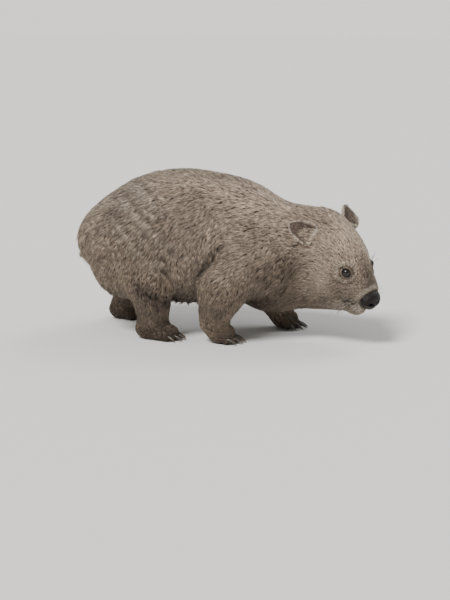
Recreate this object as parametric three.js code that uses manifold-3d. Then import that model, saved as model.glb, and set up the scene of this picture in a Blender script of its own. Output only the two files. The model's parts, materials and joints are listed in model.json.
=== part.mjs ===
// A walking bare-nosed wombat, life size, as a still museum model.
// Millimetres, +Z up. The animal faces +X and its left side is +Y, so its right side is -Y.
// Its flesh is one body made of rounded masses that blend into each other, parted into head, neck,
// torso, tail, legs and feet by thin cuts. Nose pad, ears, eyes and claws are pieces of their own.
import * as THREE from "three";
import { mergeVertices } from "three/addons/utils/BufferGeometryUtils.js";
import Module from "manifold-3d";

const wasm = await Module();
wasm.setup();

// Driving sizes
const GAP = 0.3; // left between pieces that touch
const BARREL = { at: [-108, 0, 252], half: [255, 150, 175] };
const RUMP = { at: [-266, 0, 240], half: [138, 134, 111], pitch: -3 };
const STANCE = 106; // from the midline to the middle of each foot
const FORE_FOOT_X = { right: 6, left: 123 };
const HIND_FOOT_X = { right: -182, left: -328 };
const FOOT_CUT = 50; // height at which the feet are parted from the legs
const BELLY = 68; // no part of the torso or neck hangs lower than this
const NOSE_TIP = [388, -78, 128];
const HEAD_YAW = -30; // degrees, turned to its right
const HEAD_PITCH = 27; // degrees, nose down
const HEAD_ROLL = 10; // degrees, left ear up
const HEAD_BACK = 226; // from the nose tip back to the cut behind the ears
const EAR = { back: 185, side: 64, up: 82, width: 57, depth: 25, tall: 61, rooted: 16 };
const EAR_TIP_WAY = [-1.1, 0.77, 0.54]; // back, outward and up
const EAR_OPENS = { right: [0.61, 0.42, 0.67], left: [0.56, 0.22, 0.8] }; // forward, outward and up
const EAR_FORM = { narrowing: 0.5, thinning: 0.75, curl: 0.011, lean: 6, splay: 5 };
const EAR_CUP = { width: 0.74, depth: 0.8, tall: 0.86, rooted: -8, ahead: 0.36 };
const EYE = { back: 79, up: 36, radius: 12.5, sunk: 10 };
const LID = { radius: 10.5, thick: 2.4 };
const NOSE = { at: [-5, 0, -9], half: [20, 29, 23], tilt: -12 };
const NOSTRIL = { at: [9, 13, -3], half: [12, 7.5, 4.4] };
const GROOVE = 2.2; // radius of the mouth line and the cleft of the lip
const MOUTH = { from: -52, front: -53, dip: 4, corner: 112, rise: 0.35 };
const CLEFT = { top: -18, step: 5 };
const TAIL = { at: [-386, 0, 200], radius: 14, length: 28, tilt: 124 };
const CLAW_SIDES = 6;
const FORE_CLAW = { length: 27, radius: 5.4 };
const HIND_CLAW = { length: 25, radius: 5.1 };

// How fine each wrapped surface is
const CELL = { trunk: 25.5, head: 12, foot: 11 };
const TRUNK_BOX = { low: [-420, -190, 18], high: [340, 190, 450] };
const HEAD_BOX = { low: [130, -230, 10], high: [430, 110, 400] };

const rad = THREE.MathUtils.degToRad;
const vec = (v) => new THREE.Vector3(...v);
const SIDES = { right: -1, left: 1 };
const WORLD = new THREE.Matrix4();

// A frame that stands at a place and is turned by yaw, pitch and roll in degrees.
function frameAt(at, yaw = 0, pitch = 0, roll = 0) {
  const turn = new THREE.Euler(rad(roll), rad(pitch), rad(yaw), "ZYX");
  return new THREE.Matrix4().makeRotationFromEuler(turn).setPosition(...at);
}

const HEAD = frameAt(NOSE_TIP, HEAD_YAW, HEAD_PITCH, HEAD_ROLL);
const inHead = (at) => vec(at).applyMatrix4(HEAD).toArray();

// A rounded mass: field(p) is roughly the distance from p to its surface, negative inside, and
// blend is how widely it runs into the masses before it.
function ellipsoid({ at, half, yaw, pitch, roll, frame = WORLD, blend = 24 }) {
  const inverse = frameAt(at, yaw, pitch, roll).premultiply(frame).invert();
  const q = new THREE.Vector3();
  const [a, b, c] = half;
  const field = (p) => {
    q.copy(p).applyMatrix4(inverse);
    const near = Math.hypot(q.x / a, q.y / b, q.z / c);
    const slope = Math.hypot(q.x / (a * a), q.y / (b * b), q.z / (c * c));
    return slope < 1e-9 ? -Math.min(a, b, c) : (near * (near - 1)) / slope;
  };
  return { field, blend };
}

// A limb that tapers evenly between two joints.
function limb({ from, to, radii, frame = WORLD, blend = 20 }) {
  const start = vec(from).applyMatrix4(frame);
  const along = vec(to).applyMatrix4(frame).sub(start);
  const q = new THREE.Vector3();
  const field = (p) => {
    q.copy(p).sub(start);
    const t = THREE.MathUtils.clamp(q.dot(along) / along.lengthSq(), 0, 1);
    return q.addScaledVector(along, -t).length() - THREE.MathUtils.lerp(...radii, t);
  };
  return { field, blend };
}

const bothSides = (make) => [make(-1), make(1)];

function torsoMasses() {
  return [
    ellipsoid(BARREL),
    ellipsoid({ ...RUMP, blend: 30 }),
    ellipsoid({ at: [22, 0, 246], half: [161, 130, 151], pitch: 9, blend: 40 }),
    ellipsoid({ at: [120, -6, 162], half: [90, 90, 94], blend: 40 }),
  ];
}

function neckMasses() {
  const nape = inHead([-206, 0, 20]);
  const gullet = inHead([-104, 0, -54]);
  return [
    limb({ from: [100, -4, 238], to: nape, radii: [117, 99], blend: 28 }),
    limb({ from: [120, -6, 163], to: gullet, radii: [88, 50], blend: 34 }),
  ];
}

function headMasses() {
  const frame = HEAD;
  return [
    ellipsoid({ at: [-143, 0, 27], half: [84, 79, 77], frame, blend: 30 }),
    ellipsoid({ at: [-107, 0, 28], half: [77, 57, 56], frame, blend: 22 }),
    ellipsoid({ at: [-55, 0, 0], half: [52, 51, 43], frame, blend: 18 }),
    ellipsoid({ at: [-27, 0, -4], half: [24, 37, 28], frame, blend: 12 }),
    ...bothSides((side) =>
      ellipsoid({ at: [-130, side * 44, -22], half: [62, 46, 54], frame, blend: 24 }),
    ),
    ...bothSides((side) =>
      ellipsoid({ at: [-88, side * 29, -50], half: [50, 31, 22], frame, blend: 20 }),
    ),
    ...bothSides((side) =>
      ellipsoid({ at: [-84, side * 38, 32], half: [30, 16, 13], frame, blend: 16 }),
    ),
    ...bothSides((side) =>
      ellipsoid({ at: [-27, side * 18, -35], half: [29, 21, 20], frame, blend: 7 }),
    ),
    ellipsoid({ at: [-48, 0, -60], half: [33, 27, 17], frame, blend: 9 }),
    ellipsoid({ at: [-140, 0, -48], half: [80, 52, 29], frame, blend: 26 }),
  ];
}

// Each leg lists its masses from the trunk down, the frame of its foot on the floor, and the sleeve
// that parts it from the trunk.
function foreleg(side, footX) {
  const lead = footX - FORE_FOOT_X.right;
  const shoulder = [96 + 0.25 * lead, side * 100, 214];
  const elbow = [9 + 0.4 * lead, side * 112, 133];
  const wrist = [footX - 15, side * 109, 54];
  return {
    masses: [
      ellipsoid({ at: shoulder, half: [88, 50, 92], pitch: 28, blend: 26 }),
      limb({ from: shoulder, to: elbow, radii: [60, 64], blend: 22 }),
      limb({ from: elbow, to: wrist, radii: [66, 38], blend: 18 }),
    ],
    foot: frameAt([footX, side * STANCE, 0], side * -7),
    sleeve: { at: [(shoulder[0] + elbow[0]) / 2, side * 130], half: [113, 82], top: 250 },
  };
}

function hindleg(side, footX) {
  const lead = footX - HIND_FOOT_X.right;
  const hip = [-232 + 0.25 * lead, side * 94, 198];
  const knee = [-172 + 0.75 * lead, side * 112, 136];
  const ankle = [footX + 14, side * 109, 52];
  return {
    masses: [
      ellipsoid({ at: hip, half: [110, 56, 102], pitch: -12, blend: 26 }),
      limb({ from: hip, to: knee, radii: [64, 58], blend: 22 }),
      limb({ from: knee, to: ankle, radii: [58, 41], blend: 18 }),
    ],
    foot: frameAt([footX, side * STANCE, 0], side * 6),
    sleeve: { at: [(hip[0] + footX) / 2 + 18, side * 130], half: [116, 82], top: 256 },
  };
}

// Toes, from the inner one outward: where each tip is ahead of and beside the foot's middle.
const FORE_TOES = [
  { ahead: 32, aside: -30 },
  { ahead: 46, aside: -16 },
  { ahead: 51, aside: 0 },
  { ahead: 46, aside: 16 },
  { ahead: 32, aside: 30 },
];
const HIND_TOES = [
  { ahead: 80, aside: -19 },
  { ahead: 87, aside: -4 },
  { ahead: 83, aside: 11 },
  { ahead: 71, aside: 26 },
];
const THUMB = { ahead: 42, aside: -31 }; // the small clawless first toe of a hind foot
const TOE_HEIGHT = 11;
const TOE_RADII = [13, 10];

function toeMasses(toes, side, frame) {
  return toes.map(({ ahead, aside }) =>
    limb({
      from: [ahead * 0.45, side * aside * 0.85, TOE_HEIGHT + 6],
      to: [ahead - TOE_RADII[1], side * aside, TOE_HEIGHT - 1],
      radii: TOE_RADII,
      frame,
      blend: 5,
    }),
  );
}

const forefootMasses = (side, frame) => [
  ellipsoid({ at: [5, 0, 24], half: [36, 37, 28], frame, blend: 14 }),
  ...toeMasses(FORE_TOES, side, frame),
];

const hindfootMasses = (side, frame) => [
  ellipsoid({ at: [4, 0, 26], half: [40, 34, 30], frame, blend: 14 }),
  ellipsoid({ at: [42, 0, 20], half: [40, 33, 23], frame, blend: 14 }),
  ...toeMasses([...HIND_TOES, THUMB], side, frame),
];

const legs = [];
for (const [name, side] of Object.entries(SIDES)) {
  const fore = foreleg(side, FORE_FOOT_X[name]);
  fore.masses.push(...forefootMasses(side, fore.foot));
  legs.push({ ...fore, side, legName: "foreleg_" + name, footName: "forefoot_" + name,
    toes: FORE_TOES, claw: FORE_CLAW });
  const hind = hindleg(side, HIND_FOOT_X[name]);
  hind.masses.push(...hindfootMasses(side, hind.foot));
  legs.push({ ...hind, side, legName: "hindleg_" + name, footName: "hindfoot_" + name,
    toes: HIND_TOES, claw: HIND_CLAW });
}

const masses = [
  ...torsoMasses(),
  ...neckMasses(),
  ...headMasses(),
  ...legs.flatMap((leg) => leg.masses),
];

// The whole body: all masses, each run smoothly into those before it.
function body(p) {
  let whole = masses[0].field(p);
  for (const { field, blend } of masses.slice(1)) {
    const next = field(p);
    const overlap = Math.max(blend - Math.abs(whole - next), 0) / blend;
    whole = Math.min(whole, next) - (overlap * overlap * blend) / 4;
  }
  return whole;
}

// The way out of the body at a point, as long as the field is steep there.
function slopeAt(p) {
  const step = 0.5;
  const q = new THREE.Vector3();
  const here = body(p);
  return new THREE.Vector3(
    body(q.copy(p).setX(p.x + step)) - here,
    body(q.copy(p).setY(p.y + step)) - here,
    body(q.copy(p).setZ(p.z + step)) - here,
  ).divideScalar(step);
}

// Moves a point onto the body's surface along the field's slope.
function settle(p, reach) {
  const rounds = 4;
  for (let i = 0; i < rounds; i++) {
    const slope = slopeAt(p);
    const move = THREE.MathUtils.clamp(-body(p) / Math.max(slope.lengthSq(), 0.1), -reach, reach);
    p.addScaledVector(slope, move);
  }
  return p;
}

// The point where a ray from inside the body leaves it.
function surfaceFrom(start, way) {
  const p = start.clone();
  const stride = 2;
  while (body(p) < 0) p.addScaledVector(way, stride);
  for (let back = stride / 2; back > 0.01; back /= 2) p.addScaledVector(way, body(p) < 0 ? back : -back);
  return p;
}

// Wraps the body inside a box in a mesh of even cells: one vertex for each cell that the surface
// crosses, and a quad across each grid edge that it crosses. The box's own faces close the mesh.
function wrapOnce(low, high, cell) {
  const count = low.map((v, i) => Math.ceil((high[i] - v) / cell) + 1);
  const at = (i, j, k) => (k * count[1] + j) * count[0] + i;
  const values = new Float64Array(count[0] * count[1] * count[2]);
  const corner = new THREE.Vector3();
  for (let k = 0; k < count[2]; k++)
    for (let j = 0; j < count[1]; j++)
      for (let i = 0; i < count[0]; i++) {
        const edge = [i, j, k].some((v, axis) => v === 0 || v === count[axis] - 1);
        corner.set(low[0] + i * cell, low[1] + j * cell, low[2] + k * cell);
        values[at(i, j, k)] = edge ? cell : body(corner);
      }
  const positions = [];
  const vertexOf = new Int32Array(values.length).fill(-1);
  const corners = [0, 1, 2, 3, 4, 5, 6, 7].map((n) => [n & 1, (n >> 1) & 1, n >> 2]);
  const edges = corners.flatMap((a, m) =>
    [1, 2, 4].filter((bit) => !(m & bit)).map((bit) => [a, corners[m | bit]]),
  );
  for (let k = 0; k < count[2] - 1; k++)
    for (let j = 0; j < count[1] - 1; j++)
      for (let i = 0; i < count[0] - 1; i++) {
        const middle = new THREE.Vector3();
        let crossings = 0;
        for (const [a, b] of edges) {
          const va = values[at(i + a[0], j + a[1], k + a[2])];
          const vb = values[at(i + b[0], j + b[1], k + b[2])];
          if (va < 0 === vb < 0) continue;
          const t = va / (va - vb);
          middle.add(vec(a.map((v, axis) => v + (b[axis] - v) * t)));
          crossings++;
        }
        if (!crossings) continue;
        middle.divideScalar(crossings).add(vec([i, j, k])).multiplyScalar(cell).add(vec(low));
        if (Math.abs(body(middle)) < cell / 2) settle(middle, cell / 4);
        vertexOf[at(i, j, k)] = positions.length / 3;
        positions.push(...middle);
      }
  const faces = [];
  const point = (n) => new THREE.Vector3().fromArray(positions, n * 3);
  const quad = (a, b, c, d) =>
    point(a).distanceTo(point(c)) < point(b).distanceTo(point(d))
      ? faces.push(a, b, c, a, c, d)
      : faces.push(a, b, d, b, c, d);
  for (let k = 0; k < count[2] - 1; k++)
    for (let j = 0; j < count[1] - 1; j++)
      for (let i = 0; i < count[0] - 1; i++)
        [[1, 0, 0], [0, 1, 0], [0, 0, 1]].forEach((way, axis) => {
          const here = values[at(i, j, k)] < 0;
          const there = values[at(i + way[0], j + way[1], k + way[2])] < 0;
          if (here === there) return;
          const u = [[0, 1, 0], [0, 0, 1], [1, 0, 0]][axis];
          const v = [[0, 0, 1], [1, 0, 0], [0, 1, 0]][axis];
          const ring = [[0, 0], [1, 0], [1, 1], [0, 1]].map(([m, n]) =>
            vertexOf[at(i - m * u[0] - n * v[0], j - m * u[1] - n * v[1], k - m * u[2] - n * v[2])],
          );
          quad(...(here ? ring : ring.reverse()));
        });
  return { positions, faces };
}

// True where every edge of the mesh belongs to exactly two faces.
function isSound({ faces }) {
  const uses = new Map();
  for (let i = 0; i < faces.length; i++) {
    const a = faces[i];
    const b = i % 3 === 2 ? faces[i - 2] : faces[i + 1];
    const key = Math.min(a, b) + "_" + Math.max(a, b);
    uses.set(key, (uses.get(key) ?? 0) + 1);
  }
  return [...uses.values()].every((n) => n === 2);
}

// Where two folds of the surface meet in one cell, the grid is moved a little and tried again.
function wrap(low, high, cell) {
  let start = low;
  let mesh = wrapOnce(start, high, cell);
  for (let tries = 1; tries < 8 && !isSound(mesh); tries++) {
    start = low.map((v, axis) => v - ((tries * (axis + 1)) % 8) * (cell / 8));
    mesh = wrapOnce(start, high, cell);
  }
  return new THREE.BufferGeometry()
    .setAttribute("position", new THREE.Float32BufferAttribute(mesh.positions, 3))
    .setIndex(mesh.faces);
}

// A closed geometry as a solid, and back.
function solidOf(geometry) {
  const bare = new THREE.BufferGeometry()
    .setAttribute("position", geometry.getAttribute("position"))
    .setIndex(geometry.index);
  const merged = mergeVertices(bare, 1e-3);
  return new wasm.Manifold(
    new wasm.Mesh({
      numProp: 3,
      vertProperties: merged.attributes.position.array,
      triVerts: new Uint32Array(merged.index.array),
    }),
  );
}

function geometryOf(solid) {
  const mesh = solid.getMesh();
  const positions = new Float32Array(mesh.numVert * 3);
  for (let i = 0; i < mesh.numVert; i++)
    positions.set(mesh.vertProperties.subarray(i * mesh.numProp, i * mesh.numProp + 3), i * 3);
  return new THREE.BufferGeometry()
    .setAttribute("position", new THREE.BufferAttribute(positions, 3))
    .setIndex(new THREE.BufferAttribute(mesh.triVerts, 1));
}

// The largest closed surface, without the scraps that a cut leaves.
const largest = (solid) =>
  solid.decompose().reduce((a, b) => (b.volume() > a.volume() ? b : a));

// Cutters. Each takes grow, by which it is made larger so that the piece round it keeps its gap.
const placed = (geometry, frame) => solidOf(geometry.clone().applyMatrix4(frame));

function block(low, high, frame = WORLD, grow = 0) {
  const size = low.map((v, i) => high[i] - v + 2 * grow);
  const middle = low.map((v, i) => (v + high[i]) / 2);
  return placed(new THREE.BoxGeometry(...size).translate(...middle), frame);
}

// The upright sleeve, domed at the top, that parts a leg from the trunk.
function sleeveOf({ at, half, top }, grow = 0) {
  const [x, y] = half.map((v) => v + grow);
  const dome = 60;
  const shape = new THREE.CapsuleGeometry(1, 2, 4, 20).rotateX(Math.PI / 2);
  const position = shape.getAttribute("position");
  for (let i = 0; i < position.count; i++) {
    const z = position.getZ(i);
    position.setXYZ(
      i,
      at[0] + position.getX(i) * x,
      at[1] + position.getY(i) * y,
      z > 0 ? top - dome + (z - 1) * dome + grow : z * dome - 40,
    );
  }
  return solidOf(shape);
}

// Where the head is parted from the neck, and the neck from the torso.
const headBlock = (grow = 0) =>
  block([-HEAD_BACK, -150, -135], [60, 150, 130], HEAD, grow);
const NECK_FRAME = frameAt([158, -10, 250], -6, 8);
const neckBlock = (grow = 0) =>
  block([0, -220, -190], [260, 220, 220], NECK_FRAME, grow);
const FAR = 1000;
const slab = (bottom, top) => block([-FAR, -FAR, bottom], [FAR, FAR, top]);

const nodes = [];
const addNode = (name, solid, material) => nodes.push({ name, solid, material });

// Claws: cones bent downward, longer than high at the root.
function clawShape({ length, radius }, grow = 0) {
  const shape = new THREE.ConeGeometry(radius + grow, length + grow, CLAW_SIDES, 3)
    .translate(0, length / 2, 0)
    .rotateZ(-Math.PI / 2);
  const position = shape.getAttribute("position");
  const droop = 0.3;
  for (let i = 0; i < position.count; i++) {
    const t = THREE.MathUtils.clamp(position.getX(i) / length, 0, 1);
    const swell = 1 + t;
    position.setZ(i, position.getZ(i) * 1.1 * swell - droop * length * t * t);
    position.setY(i, position.getY(i) * 0.9 * swell);
  }
  return shape;
}

function clawFrame(leg, { ahead, aside }) {
  const root = [ahead - 9, leg.side * aside * 0.98, TOE_HEIGHT + 1.5];
  const splay = leg.side * aside * 0.45;
  return frameAt(root, splay, 4).premultiply(leg.foot);
}

function addLeg(leg) {
  const limbSolid = trunk.intersect(sleeveOf(leg.sleeve)).subtract(headBlock(GAP));
  addNode(leg.legName, largest(limbSolid), FUR);

  const around = new THREE.Box3().setFromPoints(
    [-1, 1].flatMap((i) => [-1, 1].map((j) => vec([35 + i * 80, j * 70, 0]).applyMatrix4(leg.foot))),
  );
  const footLow = [around.min.x, around.min.y, -14];
  const footHigh = [around.max.x, around.max.y, FOOT_CUT + 20];
  let foot = solidOf(wrap(footLow, footHigh, CELL.foot)).intersect(slab(0, FOOT_CUT));
  leg.toes.forEach((toe, i) => {
    const frame = clawFrame(leg, toe);
    foot = foot.subtract(placed(clawShape(leg.claw, GAP), frame));
    addNode(leg.footName.replace("foot", "claw") + "_" + (i + 1),
      placed(clawShape(leg.claw), frame).intersect(slab(0, FOOT_CUT)), CLAW);
  });
  addNode(leg.footName, largest(foot), FUR);
}

const finish = (colour, roughness) =>
  new THREE.MeshStandardMaterial({ color: colour, roughness, metalness: 0 });
const FUR = finish(0x7d6a58, 0.95);
const EAR_FUR = finish(0x6b5a4b, 0.95);
const SKIN = finish(0x2b2624, 0.55);
const CLAW = finish(0x4a4038, 0.45);
const EYEBALL = finish(0x120c09, 0.08);

// The torso and neck are what is left of the trunk between the head and the legs.
const trunk = solidOf(wrap(TRUNK_BOX.low, TRUNK_BOX.high, CELL.trunk)).intersect(
  slab(FOOT_CUT + GAP, FAR),
);

function betweenLegs(solid) {
  const above = solid.intersect(slab(BELLY, FAR));
  return legs.reduce((left, leg) => left.subtract(sleeveOf(leg.sleeve, GAP)), above);
}

function addTorso() {
  const torso = betweenLegs(trunk.subtract(neckBlock(GAP)).subtract(headBlock(GAP)));
  addNode("torso", largest(torso.subtract(tailShape(GAP))), FUR);
  addNode("tail", tailShape(), FUR);
}

const earSpace = (name, side) => placed(earShape(side, EAR, GAP), earFrame(name));

// The roots of the ears reach back into the neck a little.
function addNeck() {
  let neck = betweenLegs(trunk.intersect(neckBlock()).subtract(headBlock(GAP)));
  for (const [name, side] of Object.entries(SIDES)) neck = neck.subtract(earSpace(name, side));
  addNode("neck", largest(neck), FUR);
}

// An ear: a rounded triangle with its edges curled forward round a cup. x is the way it opens, z is
// the way its tip points, and its root lies below z = 0.
function earShape(side, { width, depth, tall, rooted }, grow = 0) {
  const shape = new THREE.SphereGeometry(1, 14, 9).rotateX(Math.PI / 2);
  const position = shape.getAttribute("position");
  for (let i = 0; i < position.count; i++) {
    const z = position.getZ(i);
    const height = (z + 1) / 2;
    const narrowing = 1.12 - EAR_FORM.narrowing * height * height;
    const y = position.getY(i) * (width / 2 + grow) * narrowing;
    const thickness = (depth / 2) * (1.1 - EAR_FORM.thinning * height) + grow;
    const curl = EAR_FORM.curl * y * y;
    position.setXYZ(
      i,
      position.getX(i) * thickness + curl - EAR_FORM.lean * height * height,
      y + side * EAR_FORM.splay * height,
      (tall + rooted + 2 * grow) * height - rooted - grow,
    );
  }
  return shape;
}

function earFrame(name) {
  const side = SIDES[name];
  const mirrored = ([u, v, w]) => vec([u, side * v, w]).normalize();
  const tip = mirrored(EAR_TIP_WAY);
  const opening = mirrored(EAR_OPENS[name]);
  opening.addScaledVector(tip, -opening.dot(tip)).normalize();
  return new THREE.Matrix4()
    .makeBasis(opening, tip.clone().cross(opening), tip)
    .setPosition(-EAR.back, side * EAR.side, EAR.up)
    .premultiply(HEAD);
}

function addEar(name, side) {
  const frame = earFrame(name);
  const cup = earShape(side, { width: EAR.width * EAR_CUP.width, depth: EAR.depth * EAR_CUP.depth,
    tall: EAR.tall * EAR_CUP.tall, rooted: EAR_CUP.rooted });
  cup.translate(EAR.depth * EAR_CUP.ahead, 0, 0);
  const ear = placed(earShape(side, EAR), frame).subtract(placed(cup, frame));
  addNode("ear_" + name, largest(ear), EAR_FUR);
  return earSpace(name, side);
}

// Eyes sit in round sockets, square to the skin, with a lid's rim round each.
function eyePlace(side) {
  const start = vec([-EYE.back, 0, EYE.up]).applyMatrix4(HEAD);
  const onSkin = surfaceFrom(start, vec([0.3, side, 0.28]).transformDirection(HEAD));
  const out = slopeAt(onSkin).normalize();
  const turn = new THREE.Quaternion().setFromUnitVectors(new THREE.Vector3(0, 0, 1), out);
  const frame = new THREE.Matrix4().makeRotationFromQuaternion(turn).setPosition(onSkin);
  return { middle: onSkin.clone().addScaledVector(out, -EYE.sunk), frame };
}

// A round-bottomed groove along points on the skin.
function groove(points) {
  const section = new THREE.Shape().absarc(0, 0, GROOVE, 0, Math.PI * 2);
  const path = new THREE.CatmullRomCurve3(points);
  return solidOf(new THREE.ExtrudeGeometry(section, {
    extrudePath: path, steps: points.length + 3, curveSegments: 3, bevelEnabled: false,
  }));
}

// The line of the mouth, from corner to corner round the front of the muzzle, and the cleft of the
// upper lip above it.
function mouthLine() {
  const points = [];
  for (let angle = -MOUTH.corner; angle <= MOUTH.corner; angle += MOUTH.corner / 7) {
    const turn = rad(angle);
    const rise = Math.max(Math.abs(angle) - 90, 0) * MOUTH.rise;
    const height = MOUTH.front - MOUTH.dip * Math.sin(turn) ** 2 + rise;
    const way = vec([Math.cos(turn), Math.sin(turn), 0]).transformDirection(HEAD);
    points.push(surfaceFrom(vec([MOUTH.from, 0, height]).applyMatrix4(HEAD), way));
  }
  return groove(points);
}

function lipCleft() {
  const points = [];
  const way = vec([1, 0, 0]).transformDirection(HEAD);
  for (let height = CLEFT.top; height >= MOUTH.front; height -= CLEFT.step)
    points.push(surfaceFrom(vec([MOUTH.from, 0, height]).applyMatrix4(HEAD), way));
  return groove(points);
}

// The bare nose pad, wider above than below, with two nostrils that slant outward.
const NOSE_FRAME = frameAt(NOSE.at, 0, NOSE.tilt).premultiply(HEAD);

function nosePad(grow = 0) {
  const shape = new THREE.SphereGeometry(1, 16, 10).rotateY(Math.PI / 2);
  const position = shape.getAttribute("position");
  for (let i = 0; i < position.count; i++) {
    const [x, y, z] = [position.getX(i), position.getY(i), position.getZ(i)];
    const width = NOSE.half[1] * (1 + 0.18 * z) + grow;
    position.setXYZ(i, x * (NOSE.half[0] + grow), y * width, z * (NOSE.half[2] + grow));
  }
  return placed(shape, NOSE_FRAME);
}

function addNose() {
  let nose = nosePad();
  for (const side of Object.values(SIDES)) {
    const [u, v, w] = NOSTRIL.at;
    const shape = new THREE.SphereGeometry(1, 10, 6).scale(...NOSTRIL.half);
    const frame = frameAt([u - NOSE.at[0], side * v, w], side * 30, 0, side * 26);
    nose = nose.subtract(placed(shape, frame.premultiply(NOSE_FRAME)));
  }
  addNode("nose", largest(nose), SKIN);
}

function addHead() {
  let head = solidOf(wrap(HEAD_BOX.low, HEAD_BOX.high, CELL.head)).intersect(headBlock());
  for (const [name, side] of Object.entries(SIDES)) {
    const eye = eyePlace(side);
    const rim = new THREE.TorusGeometry(LID.radius, LID.thick, 6, 16).scale(1.1, 0.97, 1);
    head = head.add(placed(rim, eye.frame));
    const ball = (grow) =>
      solidOf(new THREE.SphereGeometry(EYE.radius + grow, 12, 8).translate(...eye.middle));
    head = head.subtract(ball(GAP));
    addNode("eye_" + name, ball(0), EYEBALL);
    head = head.subtract(addEar(name, side));
  }
  head = head.subtract(mouthLine()).subtract(lipCleft()).subtract(nosePad(GAP));
  addNode("head", largest(head), FUR);
  addNose();
}

// The tail is a short stub, mostly hidden in the coat.
const tailShape = (grow = 0) =>
  placed(
    new THREE.CapsuleGeometry(TAIL.radius + grow, TAIL.length, 3, 10).rotateX(Math.PI / 2),
    frameAt(TAIL.at, 0, -TAIL.tilt),
  );

addTorso();
addNeck();
addHead();
legs.forEach(addLeg);

const wombat = new THREE.Group();
for (const { name, solid, material } of nodes) {
  const mesh = new THREE.Mesh(geometryOf(solid), material);
  mesh.name = name;
  wombat.add(mesh);
}

// The origin is on the floor, under the middle of the whole animal.
const whole = new THREE.Box3().setFromObject(wombat);
const middle = whole.getCenter(new THREE.Vector3());
wombat.position.set(-middle.x, -middle.y, -whole.min.z);

export default wombat;
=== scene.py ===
"""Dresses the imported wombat: skin, coat, eyes, nose, ears, claws and whiskers, with floor, light and camera.

The body's shape is worked out in millimetres from the same rounded masses as the solids, in the frame
in which those masses are given. to_scene turns such points into the scene's metres.
"""
import json
import math
import bmesh
import bpy
import numpy as np
from mathutils import Matrix, Vector

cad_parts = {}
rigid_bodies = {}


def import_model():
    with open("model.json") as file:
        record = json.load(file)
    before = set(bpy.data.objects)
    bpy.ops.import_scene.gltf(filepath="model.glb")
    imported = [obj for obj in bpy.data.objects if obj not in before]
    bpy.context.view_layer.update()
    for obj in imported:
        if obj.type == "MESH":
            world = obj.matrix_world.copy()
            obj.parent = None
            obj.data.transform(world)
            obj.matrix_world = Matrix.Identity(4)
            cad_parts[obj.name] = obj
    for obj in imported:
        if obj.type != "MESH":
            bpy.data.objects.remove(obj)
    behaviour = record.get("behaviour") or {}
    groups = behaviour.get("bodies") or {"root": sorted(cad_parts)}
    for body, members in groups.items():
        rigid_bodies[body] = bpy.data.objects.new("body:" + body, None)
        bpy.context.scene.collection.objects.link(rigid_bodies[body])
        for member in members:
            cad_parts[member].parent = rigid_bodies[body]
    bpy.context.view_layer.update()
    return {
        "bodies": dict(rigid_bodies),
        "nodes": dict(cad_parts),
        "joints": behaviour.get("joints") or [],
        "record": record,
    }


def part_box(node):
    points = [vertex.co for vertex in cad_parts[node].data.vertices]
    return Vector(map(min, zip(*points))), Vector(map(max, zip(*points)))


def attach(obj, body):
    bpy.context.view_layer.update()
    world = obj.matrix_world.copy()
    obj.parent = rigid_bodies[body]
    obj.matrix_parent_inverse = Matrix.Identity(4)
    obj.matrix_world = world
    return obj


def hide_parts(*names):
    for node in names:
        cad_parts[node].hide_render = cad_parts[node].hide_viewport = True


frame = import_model()
SIDES = {"right": -1, "left": 1}
SIDE_NAMES = {side: name for name, side in SIDES.items()}
rng = np.random.default_rng(7)

# Driving sizes of the solids, in millimetres and degrees
SHIFT = np.array([3.439, -0.325, 0.0])  # from the masses' frame to the part's
STANCE = 106
FORE_FOOT_X = {"right": 6, "left": 123}
HIND_FOOT_X = {"right": -182, "left": -328}
NOSE_TIP = (388, -78, 128)
HEAD_TURN = (-30, 27, 10)  # yaw, pitch and roll
TAIL = {"at": (-386, 0, 200), "radius": 14, "length": 28, "tilt": 124}
EAR = {"back": 185, "side": 64, "up": 82, "width": 57, "depth": 25, "tall": 61, "rooted": 16}
EAR_TIP_WAY = (-1.1, 0.77, 0.54)
EAR_OPENS = {"right": (0.61, 0.42, 0.67), "left": (0.56, 0.22, 0.8)}
EYE_RADIUS = 12.5
NOSE = {"at": (-5, 0, -9), "half": (20, 29, 23), "tilt": -12}
TOE_HEIGHT = 11
TOE_RADII = (13, 10)
FORE_TOES = ((32, -30), (46, -16), (51, 0), (46, 16), (32, 30))  # ahead of and beside the foot's middle
HIND_TOES = ((80, -19), (87, -4), (83, 11), (71, 26))
THUMB = (42, -31)
FORE_CLAW = {"length": 27, "radius": 5.4}
HIND_CLAW = {"length": 25, "radius": 5.1}


def to_scene(points):
    return (np.asarray(points, float) + SHIFT) / 1000


def to_masses(points):
    return np.asarray(points, float) * 1000 - SHIFT


def unit(vectors):
    vectors = np.asarray(vectors, float)
    return vectors / np.maximum(np.linalg.norm(vectors, axis=-1, keepdims=True), 1e-9)


def ramp(x, low, high):
    """0 below low, 1 above high and smooth between; low may be the larger."""
    t = np.clip((np.asarray(x, float) - low) / (high - low), 0, 1)
    return t * t * (3 - 2 * t)


def bump(x, width):
    """1 at 0, and falling smoothly away on both sides."""
    return np.exp(-((np.asarray(x, float) / width) ** 2))


def turns(count):
    """Angles spread evenly round a circle."""
    return np.linspace(0, 2 * math.pi, count, endpoint=False)


def distance(points, middle):
    return np.linalg.norm(points - middle, axis=1)


def from_step(points, start, along):
    """How far points are from a straight step, and where on it, from 0 to 1, they are nearest."""
    q = points - start
    t = np.clip(q @ along / (along @ along), 0, 1)
    q = q - t[:, None] * along
    return np.sqrt((q * q).sum(1)), t


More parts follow.
